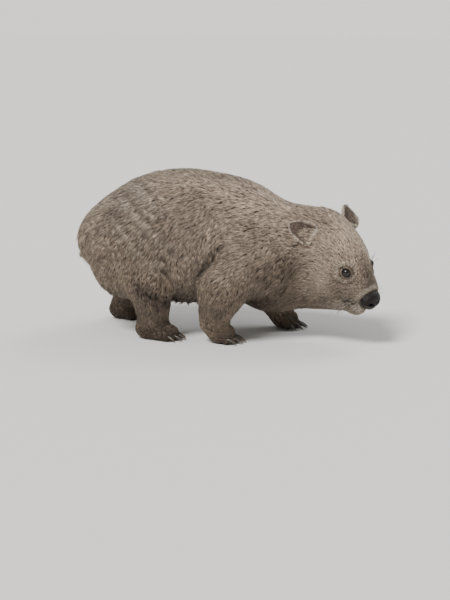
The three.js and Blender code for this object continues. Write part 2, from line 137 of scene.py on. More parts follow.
# Frames are 4x4 arrays
def turned(at=(0, 0, 0), yaw=0, pitch=0, roll=0):
    """A frame at a place, turned by yaw, pitch and roll in degrees."""
    turn = Matrix.Rotation(math.radians(yaw), 4, "Z")
    turn = turn @ Matrix.Rotation(math.radians(pitch), 4, "Y")
    turn = turn @ Matrix.Rotation(math.radians(roll), 4, "X")
    return np.array(Matrix.Translation(at) @ turn)


def place(points, matrix):
    return np.asarray(points, float) @ matrix[:3, :3].T + matrix[:3, 3]


def local(points, matrix):
    return (np.asarray(points, float) - matrix[:3, 3]) @ matrix[:3, :3]


def frame_of(ahead, up, at):
    """A frame with Z along up and X as near to ahead as that allows."""
    ahead = unit(ahead - (ahead @ up) * up)
    matrix = np.eye(4)
    matrix[:3, :3] = np.stack([ahead, np.cross(up, ahead), up], 1)
    matrix[:3, 3] = at
    return matrix


WORLD = np.eye(4)
HEAD = turned(NOSE_TIP, *HEAD_TURN)
NOSE_FRAME = HEAD @ turned(NOSE["at"], pitch=NOSE["tilt"])


# The body's masses: each has a field, negative inside, how widely it runs into those before it, the
# name of the coat that grows on it, and the ball that holds it.
def ellipsoid(at, half, yaw=0, pitch=0, roll=0, frame=WORLD, blend=24, coat="trunk"):
    matrix = frame @ turned(at, yaw, pitch, roll)
    half = np.array(half, float)
    middle = matrix[:3, 3]

    def field(points):
        q = local(points, matrix) / half
        near = np.sqrt((q * q).sum(1))
        q /= half
        slope = np.sqrt((q * q).sum(1))
        return near * (near - 1) / np.maximum(slope, 1e-9)

    return {"field": field, "blend": blend, "coat": coat, "middle": middle, "reach": half.max()}


def limb(start, end, radii, frame=WORLD, blend=20, coat="trunk"):
    start = place(np.array([start]), frame)[0]
    along = place(np.array([end]), frame)[0] - start

    def field(points):
        away, t = from_step(points, start, along)
        return away - (radii[0] + (radii[1] - radii[0]) * t)

    reach = np.linalg.norm(along) / 2 + max(radii)
    return {"field": field, "blend": blend, "coat": coat, "middle": start + along / 2, "reach": reach}


def in_head(point):
    return tuple(place(np.array([point]), HEAD)[0])


def trunk_masses():
    return [
        ellipsoid((-108, 0, 252), (255, 150, 175)),
        ellipsoid((-266, 0, 240), (138, 134, 111), pitch=-3, blend=30, coat="rump"),
        ellipsoid((22, 0, 246), (161, 130, 151), pitch=9, blend=40),
        ellipsoid((120, -6, 162), (90, 90, 94), blend=40, coat="neck"),
        limb((100, -4, 238), in_head((-206, 0, 20)), (117, 99), blend=28, coat="neck"),
        limb((120, -6, 163), in_head((-104, 0, -54)), (88, 50), blend=34, coat="throat"),
    ]


def head_masses():
    masses = [
        ellipsoid((-143, 0, 27), (84, 79, 77), frame=HEAD, blend=30, coat="crown"),
        ellipsoid((-107, 0, 28), (77, 57, 56), frame=HEAD, blend=22, coat="face"),
        ellipsoid((-55, 0, 0), (52, 51, 43), frame=HEAD, blend=18, coat="muzzle"),
        ellipsoid((-27, 0, -4), (24, 37, 28), frame=HEAD, blend=12, coat="muzzle"),
    ]
    pairs = (
        ((-130, 44, -22), (62, 46, 54), 24, "cheek"),
        ((-88, 29, -50), (50, 31, 22), 20, "cheek"),
        ((-84, 38, 32), (30, 16, 13), 16, "face"),
        ((-27, 18, -35), (29, 21, 20), 7, "muzzle"),
    )
    for (x, y, z), half, blend, coat in pairs:
        for side in (-1, 1):
            masses.append(ellipsoid((x, side * y, z), half, frame=HEAD, blend=blend, coat=coat))
    masses.append(ellipsoid((-48, 0, -60), (33, 27, 17), frame=HEAD, blend=9, coat="chin"))
    masses.append(ellipsoid((-140, 0, -48), (80, 52, 29), frame=HEAD, blend=26, coat="throat"))
    return masses


def toe_masses(toes, side, frame):
    masses = []
    for ahead, aside in toes:
        root = (ahead * 0.45, side * aside * 0.85, TOE_HEIGHT + 6)
        tip = (ahead - TOE_RADII[1], side * aside, TOE_HEIGHT - 1)
        masses.append(limb(root, tip, TOE_RADII, frame=frame, blend=5, coat="toe"))
    return masses


def foreleg(name, side):
    foot_x = FORE_FOOT_X[name]
    lead = foot_x - FORE_FOOT_X["right"]
    shoulder = (96 + 0.25 * lead, side * 100, 214)
    elbow = (9 + 0.4 * lead, side * 112, 133)
    wrist = (foot_x - 15, side * 109, 54)
    foot = turned((foot_x, side * STANCE, 0), yaw=side * -7)
    masses = [
        ellipsoid(shoulder, (88, 50, 92), pitch=28, blend=26, coat="shoulder"),
        limb(shoulder, elbow, (60, 64), blend=22, coat="shoulder"),
        limb(elbow, wrist, (66, 38), blend=18, coat="forearm"),
        ellipsoid((5, 0, 24), (36, 37, 28), frame=foot, blend=14, coat="foot"),
    ]
    masses += toe_masses(FORE_TOES, side, foot)
    return {"name": "fore", "side": side, "foot": foot, "elbow": elbow, "masses": masses,
            "toes": FORE_TOES, "claw": FORE_CLAW}


def hindleg(name, side):
    foot_x = HIND_FOOT_X[name]
    lead = foot_x - HIND_FOOT_X["right"]
    hip = (-232 + 0.25 * lead, side * 94, 198)
    knee = (-172 + 0.75 * lead, side * 112, 136)
    ankle = (foot_x + 14, side * 109, 52)
    foot = turned((foot_x, side * STANCE, 0), yaw=side * 6)
    masses = [
        ellipsoid(hip, (110, 56, 102), pitch=-12, blend=26, coat="thigh"),
        limb(hip, knee, (64, 58), blend=22, coat="thigh"),
        limb(knee, ankle, (58, 41), blend=18, coat="shin"),
        ellipsoid((4, 0, 26), (40, 34, 30), frame=foot, blend=14, coat="foot"),
        ellipsoid((42, 0, 20), (40, 33, 23), frame=foot, blend=14, coat="foot"),
    ]
    masses += toe_masses(HIND_TOES + (THUMB,), side, foot)
    return {"name": "hind", "side": side, "foot": foot, "elbow": knee, "masses": masses,
            "toes": HIND_TOES, "claw": HIND_CLAW}


def tail_mass():
    frame = turned(TAIL["at"], pitch=-TAIL["tilt"])
    half = TAIL["length"] / 2
    radii = (TAIL["radius"], TAIL["radius"])
    return limb((0, 0, -half), (0, 0, half), radii, frame=frame, blend=8, coat="rump")


legs = []
for side_name, side in SIDES.items():
    legs.append(foreleg(side_name, side))
    legs.append(hindleg(side_name, side))
masses = trunk_masses() + head_masses()
for leg in legs:
    masses += leg["masses"]
masses.append(tail_mass())


FAR = 200.0  # the field where no mass is near
NEARBY = 46.0  # past this a mass has no say


def near_values(mass, points):
    """The points near a mass, and its field there."""
    away = points - mass["middle"]
    near = np.flatnonzero((away * away).sum(1) < (mass["reach"] + NEARBY) ** 2)
    return near, mass["field"](points[near])


def body(points):
    """All masses, each run smoothly into those before it."""
    whole = np.full(len(points), FAR)
    for mass in masses:
        near, value = near_values(mass, points)
        before = whole[near]
        blend = mass["blend"]
        overlap = np.maximum(blend - np.abs(before - value), 0) / blend
        whole[near] = np.minimum(before, value) - overlap * overlap * blend / 4
    return whole


def slope_of(field, points, here=None, step=0.4):
    """The way out at each point."""
    here = field(points) if here is None else here
    slope = np.empty_like(points)
    for axis in range(3):
        move = np.zeros(3)
        move[axis] = step
        slope[:, axis] = field(points + move) - here
    return slope / step


def settle(field, points, level, rounds=3, reach=6.0):
    """Moves points along the slope until the field has the wanted level there."""
    for _ in range(rounds):
        here = field(points)
        slope = slope_of(field, points, here)
        move = np.clip((level - here) / np.maximum((slope * slope).sum(1), 0.1), -reach, reach)
        points = points + slope * move[:, None]
    return points


def leave_body(start, way):
    """Where a ray from inside the body leaves it."""
    start = np.array(start, float)
    way = unit(way)
    reach = np.arange(0, 140, 0.25)
    values = body(start + reach[:, None] * way)
    return start + way * reach[np.argmax(values > 0)]


# Coats: how deep the coat is over the skin, how long and wide its tufts are, and how many there are in
# each square centimetre
COATS = {
    "trunk": (10.0, 30.0, 2.5, 22),
    "rump": (10.0, 29.0, 2.5, 22),
    "neck": (9.0, 26.0, 2.3, 25),
    "throat": (7.5, 20.0, 1.8, 32),
    "shoulder": (8.5, 24.0, 2.2, 26),
    "forearm": (6.5, 17.0, 1.7, 36),
    "thigh": (9.0, 25.0, 2.3, 25),
    "shin": (7.0, 18.0, 1.8, 34),
    "foot": (3.4, 9.5, 1.3, 62),
    "toe": (2.4, 6.5, 1.1, 80),
    "crown": (6.0, 15.0, 1.5, 44),
    "cheek": (5.6, 14.5, 1.4, 48),
    "face": (3.6, 9.0, 1.15, 66),
    "muzzle": (2.2, 6.0, 0.9, 95),
    "chin": (2.6, 7.5, 1.0, 80),
}
COAT_NAMES = tuple(COATS)
COAT_REACH = 8.0  # how widely one coat runs into the next


def coat_shares(points):
    """How much of each coat grows at each point, as shares that add up to 1."""
    shares = np.full((len(points), len(COAT_NAMES)), 1e-6)
    for mass in masses:
        near, value = near_values(mass, points)
        column = COAT_NAMES.index(mass["coat"])
        share = np.exp(-np.clip(value, -30, 90) / COAT_REACH)
        shares[near, column] = np.maximum(shares[near, column], share)
    return shares / shares.sum(1, keepdims=True)


COAT_TABLE = np.array([COATS[name] for name in COAT_NAMES])


def coat_depth(points):
    return coat_shares(points) @ COAT_TABLE[:, 0]


def share_of(shares, *names):
    return sum(shares[:, COAT_NAMES.index(name)] for name in names)


# Face features, in the head's frame
def eye_place(name):
    """The middle of an eyeball, and the way it looks, from its solid."""
    low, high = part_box("eye_" + name)
    middle = to_masses(np.array((low + high) / 2))
    out = unit(slope_of(body, middle[None, :]))[0]
    return middle, out


EYES = {name: eye_place(name) for name in SIDES}


MOUTH_SIZES = {"from": -52, "front": -53, "dip": 4, "corner": 112, "rise": 0.35}
CLEFT_TOP = -18


def mouth_line():
    points = []
    for angle in np.linspace(-MOUTH_SIZES["corner"], MOUTH_SIZES["corner"], 29):
        turn = math.radians(angle)
        rise = max(abs(angle) - 90, 0) * MOUTH_SIZES["rise"]
        height = MOUTH_SIZES["front"] - MOUTH_SIZES["dip"] * math.sin(turn) ** 2 + rise
        way = HEAD[:3, :3] @ (math.cos(turn), math.sin(turn), 0)
        points.append(leave_body(in_head((MOUTH_SIZES["from"], 0, height)), way))
    return np.array(points)


def lip_cleft():
    points = []
    for height in np.arange(CLEFT_TOP, MOUTH_SIZES["front"] - 0.1, -3.5):
        points.append(leave_body(in_head((MOUTH_SIZES["from"], 0, height)), HEAD[:3, 0]))
    return np.array(points)


def distance_to_line(points, line):
    """How far each point is from a line of several steps."""
    best = np.full(len(points), np.inf)
    for start, end in zip(line[:-1], line[1:]):
        best = np.minimum(best, from_step(points, start, end - start)[0])
    return best


MOUTH = mouth_line()
CLEFT = lip_cleft()


# Where the skin folds on the body: x and z of each step, seen from the side
def side_folds():
    folds = []
    for leg in legs:
        x, _, z = leg["elbow"]
        if leg["name"] == "fore":
            line = ((x + 8, z + 116), (x - 30, z + 67), (x - 51, z + 32), (x - 57, z - 2), (x - 53, z - 36))
        else:
            line = ((x - 19, z + 18), (x + 14, z - 11), (x + 48, z - 30), (x + 85, z - 42))
        folds.append((leg["side"], np.array(line, float)))
    return folds


SIDE_FOLDS = side_folds()
SIDE_FOLDS_TOP = 275  # no fold of the body lies higher than this

# How deep each fold is and how wide
MOUTH_FOLD = (4.2, 3.0)
CLEFT_FOLD = (2.4, 2.2)
SIDE_FOLD = (9.0, 8.0)
# How deep each fold round an eye is, how far out it lies and how wide it is
LID_FOLD = (1.0, 18, 4.0)
BAG_FOLD = (1.6, 29, 3.0)


def near_head(points, back, aside, above):
    """Whether each point is in a box round the head, which reaches back from the tip of the nose."""
    q = local(points, HEAD)
    return (q[:, 0] > -back) & (np.abs(q[:, 1]) < aside) & (np.abs(q[:, 2]) < above)


def crease(away, depth, width):
    return depth * bump(away, width)


def ring_crease(away, depth, out, width):
    return depth * bump(away - out, width)


def folds(points):
    """How far the skin and coat are drawn in, or swell, at folds and round the face, in millimetres."""
    depth = np.zeros(len(points))
    face = near_head(points, 130, 90, 110)
    if face.any():
        near = points[face]
        depth[face] += crease(distance_to_line(near, MOUTH), *MOUTH_FOLD)
        depth[face] += crease(distance_to_line(near, CLEFT), *CLEFT_FOLD)
        for middle, out in EYES.values():
            away = near - middle
            height = away @ out
            aside = np.linalg.norm(away - height[:, None] * out, axis=1)
            depth[face] += ring_crease(aside, *LID_FOLD) * (height > 0)
            depth[face] += ring_crease(aside, *BAG_FOLD) * (height > 0) * below_eye(near, middle)
    for side, line in SIDE_FOLDS:
        near = (points[:, 1] * side > 20) & (points[:, 2] < SIDE_FOLDS_TOP)
        if near.any():
            depth[near] += crease(distance_to_line(points[near][:, [0, 2]], line), *SIDE_FOLD)
    return depth


def below_eye(points, middle):
    return ramp(points[:, 2] - middle[2], 4, -14)


def form(points):
    """The outer shape of the coat: zero where its tips lie."""
    return body(points) + folds(points)


# Skin: a mesh wrapped round the body, inside the coat
CELL = 5.0
SKIN_LOW = np.array([-440.0, -190.0, -12.0])
SKIN_HIGH = np.array([410.0, 190.0, 440.0])
FLOOR_GAP = 0.4


def skin_field(points):
    """Zero on the skin, which lies under the coat's tips by the coat's depth."""
    return form(points) + coat_depth(points)


def settle_on_skin(points, rounds):
    return settle(form, points, -coat_depth(points), rounds=rounds, reach=2.0)


def part_of(axis, part):
    """An index that takes a part of one axis and the whole of the others."""
    index = [slice(None)] * 3
    index[axis] = part
    return tuple(index)


BUT_LAST = slice(0, -1)
BUT_FIRST = slice(1, None)


def fine_values(field):
    """The field on a grid: true near the surface, and only roughly right elsewhere."""
    count = np.ceil((SKIN_HIGH - SKIN_LOW) / CELL).astype(int) + 1
    step = 4
    rough_count = count // step + 2
    rough_grid = np.stack(np.meshgrid(*[np.arange(n) for n in rough_count], indexing="ij"), -1)
    rough = field(SKIN_LOW + rough_grid.reshape(-1, 3) * (CELL * step)).reshape(rough_count)
    index = [np.round(np.arange(n) / step).astype(int) for n in count]
    values = rough[np.ix_(*index)].copy()
    near = np.abs(values) < CELL * step * 1.1
    values[near] = field(SKIN_LOW + np.argwhere(near) * CELL)
    for axis in range(3):
        values[part_of(axis, [0, -1])] = CELL
    return values


def wrapped(values):
    """One vertex in each cell that the surface crosses, and a quad across each crossed grid edge."""
    inside = values < 0
    cells = np.array(values.shape) - 1
    total = np.zeros(tuple(cells) + (3,))
    crossings = np.zeros(tuple(cells))
    for axis in range(3):
        second, third = [other for other in range(3) if other != axis]
        a = values[part_of(axis, BUT_LAST)]
        b = values[part_of(axis, BUT_FIRST)]
        crossed = (a < 0) != (b < 0)
        t = np.where(crossed, a / np.where(crossed, a - b, 1), 0)
        for m, n in ((0, 0), (0, 1), (1, 0), (1, 1)):
            part = [slice(None)] * 3
            part[second] = slice(m, cells[second] + m)
            part[third] = slice(n, cells[third] + n)
            here = crossed[tuple(part)]
            crossings += here
            total[..., axis] += np.where(here, t[tuple(part)], 0)
            total[..., second] += here * m
            total[..., third] += here * n
    used = crossings > 0
    where = np.argwhere(used)
    number = np.full(used.shape, -1)
    number[used] = np.arange(len(where))
    points = SKIN_LOW + (where + total[used] / crossings[used][:, None]) * CELL
    quads = []
    for axis in range(3):
        u = np.roll([1, 0, 0], axis + 1)
        v = np.roll([1, 0, 0], axis + 2)
        at = np.argwhere(inside[part_of(axis, BUT_LAST)] != inside[part_of(axis, BUT_FIRST)])
        here = inside[tuple(at.T)]
        ring = []
        for m, n in ((0, 0), (1, 0), (1, 1), (0, 1)):
            ring.append(number[tuple((at - m * u - n * v).T)])
        ring = np.array(ring).T
        ring[~here] = ring[~here][:, ::-1]
        quads.append(ring)
    return points, np.concatenate(quads)


def mesh_from(name, points, faces):
    """A mesh from points in the masses' frame and faces that all have as many corners."""
    mesh = bpy.data.meshes.new(name)
    points = to_scene(points)
    sides = faces.shape[1]
    mesh.vertices.add(len(points))
    mesh.vertices.foreach_set("co", points.astype(np.float32).ravel())
    mesh.loops.add(faces.size)
    mesh.loops.foreach_set("vertex_index", faces.astype(np.int32).ravel())
    mesh.polygons.add(len(faces))
    mesh.polygons.foreach_set("loop_start", np.arange(0, faces.size, sides, dtype=np.int32))
    mesh.update(calc_edges=True)
    mesh.shade_smooth()
    return mesh


def add_object(name, mesh, material, replaces=()):
    piece = bpy.data.objects.new(name, mesh)
    bpy.context.scene.collection.objects.link(piece)
    mesh.materials.append(material)
    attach(piece, "root")
    if replaces:
        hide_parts(*replaces)


def set_values(mesh, name, values, kind="FLOAT"):
    layer = mesh.attributes.new(name, kind, "POINT")
    if kind == "FLOAT":
        layer.data.foreach_set("value", values.astype(np.float32).ravel())
    else:
        colours = np.ones((len(values), 4), np.float32)
        colours[:, :3] = values
        layer.data.foreach_set("color", colours.ravel())


def read_values(items, name, width, kind=np.float32):
    """A value of each item in one of a mesh's lists, as rows."""
    values = np.empty(len(items) * width, kind)
    items.foreach_get(name, values)
    return values.reshape(-1, width)


def points_of(mesh):
    return to_masses(read_values(mesh.vertices, "co", 3))


def move_points(mesh, points):
    mesh.vertices.foreach_set("co", to_scene(points).astype(np.float32).ravel())
    mesh.update()


def unwrap(piece, chosen):
    """Unwraps the chosen faces, so that they fill the map by themselves."""
    bpy.context.view_layer.objects.active = piece
    piece.select_set(True)
    piece.data.polygons.foreach_set("select", chosen)
    bpy.ops.object.mode_set(mode="EDIT")
    bpy.ops.uv.smart_project(angle_limit=math.radians(66), island_margin=0.001)
    bpy.ops.object.mode_set(mode="OBJECT")
    piece.select_set(False)


def refine(mesh, near):
    """Splits the faces where near(points) holds for every corner."""
    flesh = bmesh.new()
    flesh.from_mesh(mesh)
    flags = near(points_of(mesh))
    flesh.verts.ensure_lookup_table()
    edges = set()
    for face in flesh.faces:
        if all(flags[v.index] for v in face.verts):
            edges.update(face.edges)
    bmesh.ops.subdivide_edges(flesh, edges=list(edges), cuts=1, use_grid_fill=True)
    flesh.to_mesh(mesh)
    flesh.free()


def on_head(points):
    return near_head(points, 190, 110, 105)


def on_face(points):
    return near_head(points, 112, 80, 90)


def on_feet(points):
    return points[:, 2] < 46


def flat_soles(points):
    points[:, 2] = np.maximum(points[:, 2], FLOOR_GAP)
    return points


def make_skin():
    points, quads = wrapped(fine_values(skin_field))
    mesh = mesh_from("skin", flat_soles(settle_on_skin(points, 2)), quads)
    piece = bpy.data.objects.new("skin", mesh)
    bpy.context.scene.collection.objects.link(piece)
    mesh.uv_layers.new(name="OFBake")
    headward = on_head(to_masses(read_values(mesh.polygons, "center", 3)))
    unwrap(piece, headward)
    unwrap(piece, ~headward)
    refine(mesh, lambda p: on_head(p) | on_feet(p))
    refine(mesh, on_face)
    move_points(mesh, flat_soles(settle_on_skin(points_of(mesh), 2)))
    mesh.shade_smooth()
    return piece


# Coat
def wander(points, size, seed, waves=6):
    """Smooth noise whose swells are about size millimetres wide, mostly within -1 to 1."""
    draw = np.random.default_rng(seed)
    total = np.zeros(len(points))
    for _ in range(waves):
        way = unit(draw.normal(size=3)) * 2 * np.pi / size * draw.uniform(0.6, 1.3)
        total += np.sin(points @ way + draw.uniform(0, 2 * np.pi))
    return total / math.sqrt(waves)


# Colours of the coats, as linear red, green and blue
TINTS = {
    "trunk": (0.400, 0.322, 0.252),
    "rump": (0.385, 0.308, 0.240),
    "neck": (0.370, 0.296, 0.230),
    # painted shade: the throat's coat is darker than the neck's, as an underside in shadow
    "throat": (0.235, 0.182, 0.137),
    "shoulder": (0.370, 0.294, 0.226),
    "forearm": (0.255, 0.196, 0.146),
    "thigh": (0.340, 0.269, 0.205),
    "shin": (0.205, 0.156, 0.117),
    "foot": (0.125, 0.094, 0.070),
    "toe": (0.092, 0.070, 0.054),
    "crown": (0.370, 0.296, 0.228),
    "cheek": (0.400, 0.325, 0.252),
    "face": (0.345, 0.276, 0.212),
    "muzzle": (0.260, 0.206, 0.160),
    "chin": (0.330, 0.272, 0.215),
}
TINT_TABLE = np.array([TINTS[name] for name in COAT_NAMES])
PALE = np.array([0.66, 0.575, 0.475])
DARK = np.array([0.055, 0.040, 0.030])
# How strong each mark or painted shade round an eye is, how far out it lies and how wide it is
EYE_RING = (0.40, 19, 4.5)
EYE_RIM = (0.9, 12, 1.8)
EYE_BAG_SHADE = (0.5, 31, 3.0)
# Lines where the coat parts across the haunch, with a painted highlight along each and painted shade beside
# it, as x and z of each step, seen from the side
PARTINGS = (
    ((-264, 353), (-224, 321), (-191, 296), (-159, 262), (-136, 247), (-96, 240)),
    ((-275, 305), (-245, 280), (-215, 249), (-190, 219), (-163, 200), (-138, 192)),
    ((-222, 384), (-176, 349), (-142, 322)),
)


def mixed(tint, other, share):
    share = np.clip(share, 0, 1)[:, None]
    return tint * (1 - share) + other * share


def parting_light_and_shade(points):
    """How strongly a highlight is painted along each line where the coat parts, and how strong the painted
    shade beside it is.
    """
    flank = ramp(np.abs(points[:, 1]), 40, 90)
    pale = np.zeros(len(points))
    dark = np.zeros(len(points))
    wavy = 1.5 * wander(points, 60, 21)
    for line in PARTINGS:
        away = distance_to_line(points[:, [0, 2]], np.array(line, float)) + wavy
        # painted highlight along each line, and painted shade beside it
        pale = np.maximum(pale, 0.36 * bump(away, 6.5) * flank)
        dark = np.maximum(dark, 0.26 * bump(away - 15, 7) * flank)
    return pale, dark


def markings_and_painted_light(points, shares):
    """The colour of skin and coat at each point: the coat's own markings, with painted shade and painted
    highlights.
    """
    tint = shares @ TINT_TABLE
    q = local(points, HEAD)
    headward = share_of(shares, "crown", "cheek", "face", "muzzle", "chin")
    body_share = share_of(shares, "trunk", "rump", "thigh", "shoulder", "neck")
    spine = body_share * ramp(points[:, 2], 330, 415) * bump(points[:, 1], 70)
    tint = mixed(tint, DARK * 1.7, 0.34 * spine)
    # painted shade: the lower body is darker, as an underside in shadow
    underside_shade = body_share * ramp(points[:, 2], 175, 85)
    tint = mixed(tint, DARK * 1.6, 0.62 * underside_shade)
    # painted shade in the folds between the legs and the body
    for side, line in SIDE_FOLDS:
        away = distance_to_line(points[:, [0, 2]], line)
        tint = mixed(tint, DARK, 0.80 * bump(away, 13) * (points[:, 1] * side > 40))
    # painted shade in the hollow behind the cheek, where the neck meets the jaw
    behind_cheek = share_of(shares, "neck", "throat", "cheek", "shoulder", "crown")
    shade_behind_jaw = bump(q[:, 0] + 196, 34) * ramp(q[:, 2], 66, 10) * ramp(np.abs(q[:, 1]), 30, 60)
    tint = mixed(tint, DARK * 1.3, 0.50 * shade_behind_jaw * behind_cheek)
    # painted highlights along the lines where the coat parts on the haunch, with painted shade beside them
    pale, dark = parting_light_and_shade(points)
    tint = mixed(mixed(tint, PALE, pale), DARK, dark)
    # the bridge of the nose is darker: partly the coat's own darker colour, partly painted shade on the front
    # of the face
    bridge_tone_and_shade = headward * bump(q[:, 1], 17) * ramp(q[:, 0], -100, -30) * ramp(q[:, 2], 0, 20)
    tint = mixed(tint, DARK * 1.5, 0.62 * bridge_tone_and_shade)
    lips = headward * ramp(q[:, 0], -66, -36) * ramp(q[:, 2], -2, -22)
    tint = mixed(tint, PALE, 0.6 * lips)
    nose_rim = np.linalg.norm(local(points, NOSE_FRAME) / np.array(NOSE["half"]), axis=1)
    tint = mixed(tint, PALE, 0.6 * headward * bump(nose_rim - 1.32, 0.16))
    # painted shade along the creases of the mouth and of the lip's cleft
    tint = mixed(tint, DARK * 1.5, 0.85 * bump(distance_to_line(points, MOUTH), 2.4))
    tint = mixed(tint, DARK * 0.6, 0.8 * bump(distance_to_line(points, CLEFT), 2.0))
    for middle, _ in EYES.values():
        away = distance(points, middle)
        tint = mixed(tint, PALE, ring_crease(away, *EYE_RING))
        tint = mixed(tint, DARK, ring_crease(away, *EYE_RIM))
        # painted shade in the fold below each eye
        tint = mixed(tint, DARK, ring_crease(away, *EYE_BAG_SHADE) * below_eye(points, middle))
    tint = tint * (1 + 0.10 * wander(points, 120, 3) + 0.07 * wander(points, 34, 4))[:, None]
    return np.clip(tint, 0.01, 0.9)


def coat_lie(points, normals, shares):
    """The way the coat lies at each point, along the skin."""
    side = np.clip(1 - normals[:, 2], 0, 1)
    behind = np.clip(-normals[:, 0], 0, 1)
    height = points[:, 2]
    none = np.zeros(len(points))
    head_back = -HEAD[:3, 0]
    from_nose = unit(points - np.array(in_head((4, 0, -6))))
    lower_arm = ramp(height, 215, 120)
    wrist = ramp(height, 100, 30)
    trunk = np.stack([-1 + 0.62 * side, none, -0.06 - 0.95 * side], 1)
    ways = {
        "trunk": trunk,
        "rump": trunk + np.stack([none, none, -0.9 * behind], 1),
        "neck": np.stack([none - 1, none, -0.1 - 0.35 * side], 1),
        "throat": np.stack([none - 1, none, none - 0.3], 1),
        "shoulder": np.stack([-0.85 + 0.6 * lower_arm, none, -0.62 - 0.4 * lower_arm], 1),
        "forearm": np.stack([-0.25 + 0.75 * wrist, none, none - 1], 1),
        "thigh": np.stack([none - 0.42, none, none - 1], 1),
        "shin": np.stack([-0.12 + 0.75 * wrist, none, none - 1], 1),
        "foot": np.stack([none + 1, none, none - 0.35], 1),
        "toe": np.stack([none + 1, none, none - 0.3], 1),
        "crown": np.tile(head_back, (len(points), 1)),
        "cheek": np.tile(head_back + (0, 0, -0.5), (len(points), 1)),
        "face": from_nose,
        "muzzle": from_nose,
        "chin": from_nose,
    }
    lie = np.zeros_like(points)
    for column, name in enumerate(COAT_NAMES):
        lie += unit(ways[name]) * shares[:, column, None] ** 0.8
    for middle, _ in EYES.values():
        away = points - middle
        near = ramp(np.linalg.norm(away, axis=1), 30, 16)[:, None]
        lie = unit(lie) * (1 - near) + unit(away) * near
    return along_skin(lie, normals)


def along_skin(ways, normals):
    return unit(ways - (ways * normals).sum(1)[:, None] * normals)


def swung(ways, normals, degrees):
    """Ways along the skin, turned about its normals."""
    turn = np.radians(degrees)[:, None]
    return ways * np.cos(turn) + np.cross(normals, ways) * np.sin(turn)


def surface_of(mesh):
    """The triangles of a mesh with the place, normal and map of their corners."""
    mesh.calc_loop_triangles()
    loops = read_values(mesh.loop_triangles, "loops", 3, np.int32)
    uvs = read_values(mesh.uv_layers["OFBake"].uv, "vector", 2)
    return {
        "points": points_of(mesh),
        "normals": read_values(mesh.vertices, "normal", 3).astype(float),
        "corners": read_values(mesh.loop_triangles, "vertices", 3, np.int32),
        "uvs": uvs[loops].astype(float),
    }


def scatter(surface, count_per_mm2):
    """Roots spread evenly over the triangles: the triangle of each and its share of the corners."""
    a, b, c = (surface["points"][surface["corners"][:, n]] for n in range(3))
    area = 0.5 * np.linalg.norm(np.cross(b - a, c - a), axis=1)
    wanted = area * count_per_mm2[surface["corners"]].mean(1)
    ends = np.cumsum(wanted)
    marks = np.arange(rng.random(), ends[-1], 1.0)
    face = np.searchsorted(ends, marks)
    u = rng.random((2, len(face)))
    u = np.where(u.sum(0) > 1, 1 - u, u)
    return face, np.stack([1 - u[0] - u[1], u[0], u[1]], 1)


def at_roots(values, surface, face, shares):
    """Values of the vertices, at the roots."""
    picked = values[surface["corners"][face]]
    if picked.ndim == 2:
        return (picked * shares).sum(1)
    return (picked * shares[..., None]).sum(1)


def locks_of(points, size):
    """Numbers that gather points into locks about size millimetres wide."""
    cell = np.floor(points / size).astype(np.int64)
    best = np.full(len(points), 1e9)
    number = np.zeros(len(points), np.int64)
    for x in (-1, 0, 1):
        for y in (-1, 0, 1):
            for z in (-1, 0, 1):
                near = cell + (x, y, z)
                key = ((near[:, 0] + 500) * 1000 + near[:, 1] + 500) * 1000 + near[:, 2] + 500
                jitter = np.stack([(key * prime % 1009) / 1009 for prime in (7919, 6271, 4099)], 1)
                away = (near + jitter) * size - points
                away = (away * away).sum(1)
                closer = away < best
                best[closer] = away[closer]
                number[closer] = key[closer]
    return np.unique(number, return_inverse=True)[1]


def lock_mean(values, lock):
    count = np.bincount(lock)
    if values.ndim == 1:
        return (np.bincount(lock, values) / count)[lock]
    return np.stack([np.bincount(lock, values[:, n]) / count for n in range(values.shape[1])], 1)[lock]


RING_AT = 0.42  # where a tuft is widest, as a share of its length
RING_TURNS = np.radians([90, 210, 330])
PATCH = 0.003  # of the map, for each tuft
TUFT_FACES = np.array([[0, 2, 1], [0, 3, 2], [0, 1, 3], [1, 2, 4], [2, 3, 4], [3, 1, 4]])
TUFT_ALONG = np.array([0.0, RING_AT, RING_AT, RING_AT, 1.0])
TUFT_MAP = np.array([[0.0, -0.5], [-0.5, 0.0], [0.0, 0.04], [0.5, 0.0], [0.0, 0.5]]) * PATCH


def bend_tufts(roots, normals, ways, length, stand, lock, gather):
    """The middle of each tuft's widest place, and its tip, drawn in towards its lock."""
    tips = roots + ways * (length * np.cos(stand))[:, None]
    tips += normals * (length * np.sin(stand))[:, None]
    pull = (gather * rng.uniform(0.5, 1.0, len(roots)))[:, None]
    tips = tips * (1 - pull) + lock_mean(tips, lock) * pull
    middle = roots + (tips - roots) * RING_AT + normals * (length * 0.05)[:, None]
    return middle, tips


def shape_tufts(roots, normals, middle, tips, width):
    """The five corners of each tuft: its root, three round its widest place, and its tip."""
    axis = unit(tips - roots)
    across = unit(np.cross(normals, axis))
    up = np.cross(axis, across)
    ring = []
    for turn in RING_TURNS:
        aside = across * (math.cos(turn) * width / 2)[:, None] + up * (math.sin(turn) * width / 3)[:, None]
        ring.append(middle + aside)
    corners = np.stack([roots - normals * 0.6] + ring + [tips], 1)
    corners[..., 2] = np.maximum(corners[..., 2], FLOOR_GAP)
    return corners


LOOKS = ("length", "width", "lie", "tint", "stand")
GUARD_HAIRS = 0.1  # share of tufts that are long, thin and mostly dark at the tip
DARK_TIPS = 0.30  # share of tufts with a darker tip


